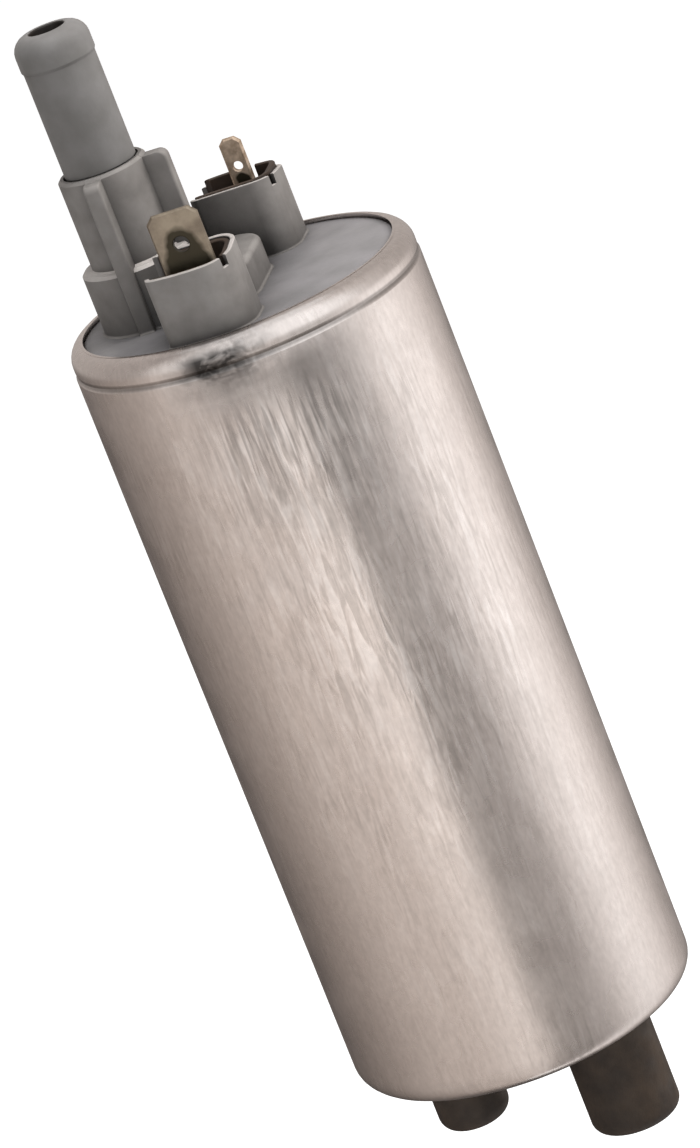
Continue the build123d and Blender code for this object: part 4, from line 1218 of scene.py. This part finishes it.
@dataclass
class TerminalHousing:
    """A thin-walled pocket on the cap with a slanted rim, a low end and a notch.

    A painted highlight makes the rim's upward faces pale, from a little under the low end's height upwards.
    """

    name: str
    liner_node: str
    shift: float
    outer_corner: float
    notch_corner: Corner
    notch_angle: float
    mirrored: bool
    cut: Point | None = None
    outer_radius: float = 18.0
    inner_y: float = 9.1
    width: float = 10.55
    wall: float = 0.6
    inner_corner: float = 3.0
    small_corner: float = 1.1
    inner_height: float = 9.25
    outer_height: float = 8.4
    low_height: float = 6.5
    cut_depth: float = 2.2
    notch_width: float = 0.9
    notch_depth: float = 1.25
    rim_round: float = 0.13
    rim_highlight_margin: float = 0.5
    rim_upward: float = 0.5
    root_fillet: float = 0.25
    least_corner: float = 0.06
    seam: float = 0.02
    liner_gap: float = 0.05
    liner_wall: float = 0.7
    liner_bottom: float = 0.05
    liner_floor: float = 1.2
    liner_edge: float = 0.1
    liner_below: float = 0.2
    liner_proud: float | None = None

    def stretch(self, centre: Point, radius: float, angles: Point, steps: int, rim: Rim) -> RimPoints:
        """An arc of the outline, its ends drawn in a little so that steps in the rim stay crisp.

        Args:
            centre: Middle of the arc.
            radius: Its radius.
            angles: First and last angle in degrees.
            steps: Number of chords.
            rim: Kind of rim over it.

        Returns:
            The points with their kind of rim.
        """
        start, end = angles
        trim = copysign(min(degrees(self.seam / radius), abs(end - start) / 4), end - start)
        return [(x, y, rim) for x, y in arc(centre, radius, start + trim, end - trim, steps)]

    def run(self, start: Point, end: Point, steps: int, rim: Rim) -> RimPoints:
        """A straight run of the outline between two corners.

        Args:
            start: First corner's end.
            end: Next corner's start.
            steps: Number of parts.
            rim: Kind of rim over it.

        Returns:
            The points with their kind of rim.
        """
        a, b = Vector(start), Vector(end)
        trim = self.seam / (b - a).length
        shares = [trim + (1 - 2 * trim) * i / steps for i in range(steps + 1)]
        return [(*a.lerp(b, share), rim) for share in shares]

    def turned(self, centre: Point, radius: float, angles: Point, corner: Corner) -> RimPoints:
        """A rounded corner, with the notch in it where the notch belongs.

        Args:
            centre: Middle of the corner's arc.
            radius: Its radius.
            angles: First and last angle in degrees.
            corner: Which corner it is.

        Returns:
            The points with their kind of rim.
        """
        if corner is not self.notch_corner:
            return self.stretch(centre, radius, angles, 18, Rim.SLANT)
        half = degrees(asin(min(0.9, self.notch_width / 2 / radius)))
        first, last = self.notch_angle + half, self.notch_angle - half
        return (
            self.stretch(centre, radius, (angles[0], first), 8, Rim.SLANT)
            + self.stretch(centre, radius, (first, last), 3, Rim.NOTCH)
            + self.stretch(centre, radius, (last, angles[1]), 8, Rim.SLANT)
        )

    def outline(self, inset: float) -> RimPoints:
        """The housing's outline as it lies on the front, drawn in by an inset.

        Args:
            inset: Distance in from the outside; below nought is outward.

        Returns:
            Points in order, each with its kind of rim. Their number doesn't depend on the inset.
        """
        left, right = self.shift - self.width / 2 + inset, self.shift + self.width / 2 - inset
        inner, reach = -self.inner_y - inset, self.outer_radius - inset
        small, big, outer = (
            max(corner - inset, self.least_corner)
            for corner in (self.small_corner, self.inner_corner, self.outer_corner)
        )
        right_x = right - outer
        right_middle = (right_x, -sqrt((reach - outer) ** 2 - right_x ** 2))
        left_x = left + small
        left_middle = (left_x, -sqrt((reach - small) ** 2 - left_x ** 2))
        arc_start = degrees(atan2(right_middle[1], right_middle[0]))
        arc_end = degrees(atan2(left_middle[1], left_middle[0]))
        points = self.run((left + small, inner), (right - big, inner), 10, Rim.SLANT)
        points += self.turned((right - big, inner - big), big, (90, 0), Corner.INNER)
        points += self.run((right, inner - big), (right, right_middle[1]), 4, Rim.SLANT)
        points += self.turned(right_middle, outer, (0, arc_start), Corner.OUTER)
        if self.cut:
            cut_start, cut_end = (-degrees(acos(x / reach)) for x in self.cut[::-1])
            points += self.stretch((0, 0), reach, (arc_start, cut_start), 8, Rim.SLANT)
            points += self.stretch((0, 0), reach, (cut_start, cut_end), 8, Rim.CUT)
            points += self.stretch((0, 0), reach, (cut_end, arc_end), 8, Rim.SLANT)
        else:
            points += self.stretch((0, 0), reach, (arc_start, arc_end), 26, Rim.SLANT)
        points += self.stretch(left_middle, small, (arc_end, -180), 6, Rim.SLANT)
        points += self.run((left, left_middle[1]), (left, inner - small), 6, Rim.LOW)
        points += self.stretch((left + small, inner - small), small, (180, 90), 6, Rim.SLANT)
        return points

    def rim_height(self, y: float, rim: Rim) -> float:
        """Height of the rim over the disc at one point of the outline.

        Args:
            y: The point's place across the cap, as on the front.
            rim: Its kind of rim.

        Returns:
            The height in millimetres.
        """
        if rim is Rim.LOW:
            return self.low_height
        if rim is Rim.CUT:
            return self.outer_height - self.cut_depth
        share = (-y - self.inner_y) / (self.outer_radius - self.inner_y)
        slant = self.inner_height + (self.outer_height - self.inner_height) * max(0.0, min(1.0, share))
        return slant - self.notch_depth if rim is Rim.NOTCH else slant

    def ring(self, inset: float, height: Callable[[float, Rim], float]) -> Ring:
        """One ring at an inset, as high as its place and its rim say, on the housing's own side."""
        side = -1 if self.mirrored else 1
        return [Vector((x, side * y, DISC_PLANE + height(y, rim))) for x, y, rim in self.outline(inset)]

    def mesh(self) -> Mesh:
        """The wall, from its foot outside, over its rim and down inside.

        Returns:
            The mesh.
        """
        rings = [self.ring(i, lambda y, rim, z=z: z) for i, z in root_steps(self.root_fillet)]
        outside = top_steps(self.rim_round)[::2]
        inside = [(self.wall - inset, drop) for inset, drop in outside[::-1]]
        for inset, drop in outside + inside:
            rings.append(self.ring(inset, lambda y, rim, d=drop: self.rim_height(y, rim) - d))
        rings.append(self.ring(self.wall, lambda y, rim: -SUNK))
        return skin(rings, joined=True)

    def liner_height(self, y: float, rim: Rim) -> float:
        """Height of the liner's rim: level where it stands proud, and under the housing's rim elsewhere.

        Args:
            y: The point's place across the cap, as on the front.
            rim: The housing's kind of rim there.

        Returns:
            The height over the disc in millimetres.
        """
        if self.liner_proud and rim in (Rim.SLANT, Rim.NOTCH):
            return self.liner_proud
        return self.rim_height(y, rim) - self.liner_below

    def liner(self) -> Mesh:
        """The dark cup inside the wall, whose colour partly stands in for the pocket's shade.

        Returns:
            The mesh.
        """
        outside, edge = self.wall + self.liner_gap, self.liner_edge
        inside = outside + self.liner_wall
        rings = [self.ring(outside, lambda y, rim: self.liner_bottom)]
        for inset, drop in ((outside, edge), (outside + edge, 0.0), (inside - edge, 0.0), (inside, edge)):
            rings.append(self.ring(inset, lambda y, rim, d=drop: self.liner_height(y, rim) - d))
        rings.append(self.ring(inside, lambda y, rim: self.liner_floor))
        return skin(rings)

    def build(self) -> None:
        """Builds the housing, whose rim carries a pale painted highlight, and the liner in it."""
        # Painted highlight: the rim's upward faces take the pale finish that stands in for light from above.
        highlight_from = DISC_PLANE + self.low_height - self.rim_highlight_margin
        Piece(
            self.name, self.mesh(), GREY_NYLON, "outlet_cap", "cap_plastic", RIM_HIGHLIGHT_NYLON,
            lambda middle, way: way.z > self.rim_upward and middle.z > highlight_from,
        ).place()
        liner_name = self.liner_node.replace("terminal_", "")
        Piece(liner_name, self.liner(), LINER_NYLON, self.liner_node, "liner_plastic").place()


@dataclass
class Blade:
    """A flat terminal blade with cut tip corners, bevelled edges and a hole near its tip.

    When the outline is drawn in, the cut corners lose a share of the inset.
    """

    name: str
    node: str
    finish: Finish
    x: float
    y: float
    width: float
    top: float
    hole_height: float
    hole_radius: float
    tip: float
    bottom: float = 40.7
    thickness: float = 0.8
    bevel: float = 0.26
    bevel_share: float = 0.75
    bulge: float = 0.05
    hole_edge: float = 0.08
    tip_share: float = 0.4
    side_steps: tuple[int, ...] = (18, 2, 8, 2, 18, 4)

    def outline(self, inset: float) -> list[Point]:
        """The blade's outline drawn in by an inset, as X and height.

        Args:
            inset: Distance in from the edge.

        Returns:
            Points in order, the same number for every inset.
        """
        half, top = self.width / 2 - inset, DISC_PLANE + self.top - inset
        low, cut = self.bottom + inset, self.tip - self.tip_share * inset
        right = [(half, low), (half, top - cut), (half - cut, top)]
        corners = right + [(-x, z) for x, z in reversed(right)]
        middle = Vector((0.0, DISC_PLANE + self.hole_height))
        points: list[Point] = []
        for i, steps in enumerate(self.side_steps):
            a, b = Vector(corners[i]), Vector(corners[(i + 1) % len(corners)])
            first, last = (atan2(p.y, p.x) for p in (a - middle, b - middle))
            turn = (last - first + pi) % tau - pi
            for k in range(steps):
                angle = first + turn * k / steps
                way = Vector((cos(angle), sin(angle)))
                share = (middle - a).cross(way) / (b - a).cross(way)
                points.append(tuple(a.lerp(b, share)))
        return [(self.x + px, pz) for px, pz in points]

    def hole(self, radius: float) -> list[Point]:
        """Points round the hole, each in line with its point of the outline.

        Args:
            radius: How far they are from its middle.

        Returns:
            Points as X and height.
        """
        height = DISC_PLANE + self.hole_height
        ways = [atan2(z - height, x - self.x) for x, z in self.outline(0)]
        return [(self.x + radius * cos(w), height + radius * sin(w)) for w in ways]

    def mesh(self) -> Mesh:
        """The blade as a band that runs over both faces and through the hole.

        Returns:
            The mesh.
        """
        half = self.thickness / 2
        back = [
            (self.hole(self.hole_radius), half - self.hole_edge),
            (self.hole(self.hole_radius + self.hole_edge), half),
            (self.outline(self.bevel), half),
            (self.outline(self.bulge), half - self.bevel * self.bevel_share),
        ]
        front = [(points, -across) for points, across in back]
        steps = [*front, (self.outline(0), 0.0), *back[::-1]]
        rings = [[Vector((px, self.y + across, pz)) for px, pz in points] for points, across in steps]
        return skin(rings, joined=True)

    def build(self) -> None:
        """Builds the blade."""
        Piece(self.name, self.mesh(), self.finish, self.node, "terminal_brass").place(crease=25.0)


@dataclass
class SoftPart:
    """A wire that in the pump gives way along Z as its joint moves, one end staying where it is; here it is
    only placed at rest.
    """

    name: str
    node: str
    joint: str
    travel: float

    def give_way(
        self, mesh: Mesh, finish: Finish, slot: str, anchor: Triple, length: float
    ) -> None:
        """Places the wire at rest, on a mesh of its own.

        Args:
            mesh: The wire as it is at rest.
            finish: Its finish.
            slot: Its material slot.
            anchor: The place that stays, in millimetres; not used.
            length: How far the moved end is from there along Z; not used.
        """
        piece = Piece(self.name, mesh, finish, self.node, slot).place()
        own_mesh(piece)


@dataclass
class Spring(SoftPart):
    """A coiled spring that in the pump shortens towards its fixed end as its joint moves; it is built at
    rest.
    """

    wire: float
    turns: int
    fixed_end: float
    steps: int = 24

    def mesh(self) -> Mesh:
        """The round wire along its helix, inside the CAD coil's box.

        Returns:
            The mesh as it is at rest.
        """
        low, high = cad_box(self.node)
        middle, half = (low + high) / 2, self.wire / 2
        radius = (high.x - low.x) / 2 - half
        rise = (high.z - low.z - self.wire) / (self.turns * self.steps)
        rings = []
        for step in range(self.turns * self.steps + 1):
            way = tau * step / self.steps
            outward = Vector((cos(way), sin(way), 0))
            core = Vector((middle.x, middle.y, low.z + half + rise * step)) + outward * radius
            rings.append(wire_ring(core, outward, Vector((0, 0, 1)), half))
        return skin(rings)

    def build(self) -> None:
        """Builds the coil at rest."""
        low, high = cad_box(self.node)
        anchor = ((low.x + high.x) / 2, (low.y + high.y) / 2, self.fixed_end)
        length = max(abs(low.z - self.fixed_end), abs(high.z - self.fixed_end))
        self.give_way(self.mesh(), DRAWN_WIRE, "spring_steel", anchor, length)


@dataclass
class Shunt(SoftPart):
    """The braided lead from a choke across to its brush, which in the pump gives way as the brush lifts; it
    is built at rest.
    """

    rise_x: float = 5.75
    bend: float = 1.3

    def mesh(self) -> Mesh:
        """The round braid along its bent way, inside the CAD lead's box.

        Returns:
            The mesh as it is at rest.
        """
        low, high = cad_box(self.node)
        half = (high.y - low.y) / 2
        bent = rounded([
            (low.x, low.z + half, 0.0),
            (self.rise_x, low.z + half, self.bend),
            (self.rise_x, high.z - half, self.bend),
            (high.x, high.z - half, 0.0),
        ], closed=False)
        rings = []
        for i, (x, z) in enumerate(bent):
            along = Vector(bent[min(i + 1, len(bent) - 1)]) - Vector(bent[max(i - 1, 0)])
            across = Vector((-along.y, 0, along.x)).normalized()
            rings.append(wire_ring(Vector((x, low.y + half, z)), across, Vector((0, 1, 0)), half))
        return skin(rings)

    def build(self) -> None:
        """Builds the braid at rest."""
        low, high = cad_box(self.node)
        anchor = (high.x, (low.y + high.y) / 2, high.z)
        length = high.z - low.z - (high.y - low.y) / 2
        self.give_way(self.mesh(), BRAIDED_COPPER, "winding_copper", anchor, length)


# Studio


def outward(azimuth: float, elevation: float) -> Vector:
    """The way from the pump at two angles in degrees: round it from -Y towards +X, and up."""
    a, e = radians(azimuth), radians(elevation)
    return Vector((sin(a) * cos(e), -cos(a) * cos(e), sin(e)))


@dataclass(frozen=True)
class Lamp:
    """A soft square lamp that looks at the pump and that no gloss shows. Its power is in watts."""

    name: str
    azimuth: float
    elevation: float
    size: float
    power: float
    colour: int
    distance: float = 750.0

    def build(self) -> None:
        """Puts the lamp into the scene."""
        away = outward(self.azimuth, self.elevation)
        data = bpy.data.lights.new(self.name, "AREA")
        data.size = self.size * MM
        data.energy = self.power
        data.color = linear(self.colour)[:3]
        made = put(self.name, data)
        turn = away.to_track_quat("Z", "Y").to_matrix().to_4x4()
        made.matrix_world = Matrix.Translation(away * self.distance * MM) @ turn
        made.visible_glossy = False


@dataclass
class Studio:
    """The floor, the soft lights, the light tent seen in gloss and the camera.

    The tent's stops run round the pump, in degrees from the camera's side. The wall's colours
    give way to the roof's between the two roof heights.
    """

    lens: float = 193.948
    azimuth: float = 16.008
    elevation: float = 17.265
    roll: float = -21.522
    distance: float = 731.185
    view_end: float = 10000.0
    aim_side: float = -0.131
    aim_height: float = 11.361
    floor_height: float = -235.0
    floor_radius: float = 4000.0
    floor_tone: float = 0.9
    floor_lift: float = 0.7
    ambient: float = 0.335
    tent_radius: float = 390.0
    tent_hole: float = 19.5
    tent_low: float = -230.0
    tent_high: float = 900.0
    tent_foot: float = 0.95
    tent_foot_height: float = 120.0
    tent_strength: float = 1.3
    roof_heights: Point = (-60.0, 20.0)
    tent_stops: Stops = (
        (-180, 0x4A4643), (-150, 0x5A5451), (-105, 0x8E857F), (-60, 0xC0B6AF), (-30, 0xC8BEB7),
        (-12, 0xE4DCD6), (3, 0xECE4DE), (11, 0x8C8783), (46, 0xA09B98), (62, 0xD6D1CE),
        (84, 0xFFFCFA), (105, 0xF4EFEC), (130, 0xBCB5B1), (160, 0x706B68), (180, 0x4A4643),
    )
    roof_stops: Stops = (
        (-180, 0xA8A29E), (-78, 0x948E8A), (-60, 0xE8E4E1), (-40, 0xFFFFFF), (48, 0xFFFFFF),
        (80, 0xB8B2AE), (130, 0xA09A96), (180, 0xA8A29E),
    )
    lamps: tuple[Lamp, ...] = (
        Lamp("key", azimuth=96, elevation=38, size=360, power=4.6, colour=0xFFFCF9),
        Lamp("fill", azimuth=-40, elevation=25, size=520, power=0.35, colour=0xFFFAF4),
        Lamp("top", azimuth=20, elevation=80, size=360, power=2.4, colour=0xFFFFFF),
    )

    def camera(self) -> None:
        """Makes the camera, which leans so that the pump's top points to the upper left."""
        azimuth, roll = radians(self.azimuth), radians(self.roll)
        level_way = Vector((cos(azimuth), sin(azimuth), 0.0))
        back = outward(self.azimuth, self.elevation)
        aim = (level_way * self.aim_side + Vector((0, 0, self.aim_height))) * MM
        right = level_way * cos(roll) + back.cross(level_way) * sin(roll)
        made = put("camera", bpy.data.cameras.new("camera"))
        made.data.lens = self.lens
        made.data.clip_end = self.view_end * MM
        turn = Matrix((right, back.cross(right), back)).transposed().to_4x4()
        made.matrix_world = Matrix.Translation(aim + back * self.distance * MM) @ turn
        bpy.context.scene.camera = made

    def looked_at(self, tree: Tree) -> Socket:
        """One where the camera, a gloss or a glass looks, and nought for the light between surfaces."""
        path = add_node(tree, "ShaderNodeLightPath").outputs
        return together(tree, "MAXIMUM", *(path[name] for name in LOOKING_RAYS))

    def world(self) -> None:
        """A plain white surround for the eye and for gloss, and a soft ambient light for the rest."""
        made = bpy.data.worlds.new("studio")
        bpy.context.scene.world = made
        tree = emptied(made)
        strength = remap(tree, self.looked_at(tree), NOUGHT_TO_ONE, (self.ambient, 1.0))
        back = add_node(tree, "ShaderNodeBackground", {"Color": WHITE, "Strength": strength})
        add_node(tree, "ShaderNodeOutputWorld", {"Surface": back.outputs["Background"]})

    def floor(self) -> None:
        """A pale floor well under the pump, which lights up to white but keeps the pump's shadow."""
        made = bpy.data.materials.new("white_card")
        tree = emptied(made)
        tone = (self.floor_tone, self.floor_tone, self.floor_tone, 1.0)
        card = add_node(tree, "ShaderNodeBsdfDiffuse", {"Color": tone})
        lift = calculate(tree, "MULTIPLY", self.looked_at(tree), self.floor_lift)
        glow = add_node(tree, "ShaderNodeEmission", {"Color": WHITE, "Strength": lift})
        both = add_node(tree, "ShaderNodeAddShader", {0: card.outputs[0], 1: glow.outputs[0]})
        add_node(tree, "ShaderNodeOutputMaterial", {"Surface": both.outputs[0]})
        mesh = bmesh.new()
        bmesh.ops.create_circle(mesh, cap_ends=True, segments=64, radius=self.floor_radius)
        floor = put("floor", mesh_data("floor", mesh))
        floor.data.materials.append(made)
        floor.location.z = self.floor_height * MM
        floor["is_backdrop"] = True

    def tent(self) -> None:
        """A round light tent that only gloss sees: boxes of light with a dark gap between them."""
        made = bpy.data.materials.new("light_tent")
        tree = emptied(made)
        place = position(tree)
        angle = calculate(tree, "ARCTAN2", place["Y"], place["X"])
        share = remap(tree, angle, (-pi, pi))
        wall, roof = (
            ramp(tree, share, [((way + 180) / 360, colour) for way, colour in stops])
            for stops in (self.tent_stops, self.roof_stops)
        )
        colour = blend(tree, remap(tree, place["Z"], self.roof_heights), wall, roof)
        foot = (self.tent_low, self.tent_low + self.tent_foot_height)
        strength = remap(tree, place["Z"], foot, (self.tent_foot, self.tent_strength))
        glow = add_node(tree, "ShaderNodeEmission", {"Color": colour, "Strength": strength})
        add_node(tree, "ShaderNodeOutputMaterial", {"Surface": glow.outputs["Emission"]})
        rings = [
            circle(self.tent_hole, self.tent_low),
            circle(self.tent_radius, self.tent_low),
            circle(self.tent_radius, self.tent_high),
        ]
        tent = put("light_tent", mesh_data("light_tent", skin(rings, ends=False)))
        tent.data.materials.append(made)
        tent.rotation_euler.z = radians(self.azimuth - 90)
        tent.visible_camera = False
        tent.visible_diffuse = False
        tent.visible_shadow = False
        tent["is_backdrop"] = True

    def build(self) -> None:
        """Sets the whole studio."""
        self.camera()
        self.world()
        self.floor()
        self.tent()
        for lamp in self.lamps:
            lamp.build()


def dress_nodes(nodes: dict[str, bpy.types.Object]) -> None:
    """Gives every solid of the frame the finish of its material slot.

    Args:
        nodes: The frame's nodes by name.
    """
    for name, node in nodes.items():
        slot = node.data.materials[0].name.split(".")[0]
        node.data.materials.clear()
        node.data.materials.append(SLOT_FINISHES[slot].material())
        log.info("%s: %s", name, slot)


def corners() -> list[list[float]]:
    """The lowest and highest corner of what is shown, as plain numbers."""
    return [[float(v) for v in corner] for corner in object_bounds()]


def main() -> None:
    """Builds the scene."""
    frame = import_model()
    bpy.context.scene.view_settings.view_transform = "Standard"
    dress_nodes(frame["nodes"])
    Can().build()
    Cap().build()
    Tower().build()
    Nipple().build()
    TerminalHousing(
        "cap_housing_front", "terminal_liner_front", shift=-0.1, outer_corner=3.6,
        notch_corner=Corner.OUTER, notch_angle=-39, mirrored=False,
    ).build()
    TerminalHousing(
        "cap_housing_back", "terminal_liner_back", shift=0.75, outer_corner=2.2,
        notch_corner=Corner.INNER, notch_angle=27, mirrored=True, cut=(-0.1, 2.6), liner_proud=9.33,
    ).build()
    Blade(
        "blade_front", "terminal_front", BLADE_PLATE, x=0.0, y=-14.95, width=6.3, top=15.1,
        hole_height=11.0, hole_radius=0.95, tip=0.9,
    ).build()
    Blade(
        "blade_back", "terminal_back", NARROW_PLATE, x=1.25, y=14.95, width=2.8, top=13.9,
        hole_height=10.3, hole_radius=0.6, tip=0.7,
    ).build()
    Spring(
        "coil_check_valve", "check_valve_spring", "outlet_valve_lift",
        travel=2.0, wire=0.45, turns=4, fixed_end=65.3,
    ).build()
    Spring(
        "coil_relief", "relief_spring", "relief_ball_lift",
        travel=0.8, wire=0.4, turns=3, fixed_end=-57.7,
    ).build()
    for side in ("front", "back"):
        joint, travel = f"{side}_brush_lift", 1.5
        Spring(
            f"coil_brush_{side}", f"brush_spring_{side}", joint, travel,
            wire=0.5, turns=4, fixed_end=45.3,
        ).build()
        Shunt(f"shunt_{side}", f"brush_shunt_{side}", joint, travel).build()
    Studio().build()


if __name__ == "__main__":
    logging.basicConfig(level=logging.INFO, format="%(name)s %(message)s")
    main()
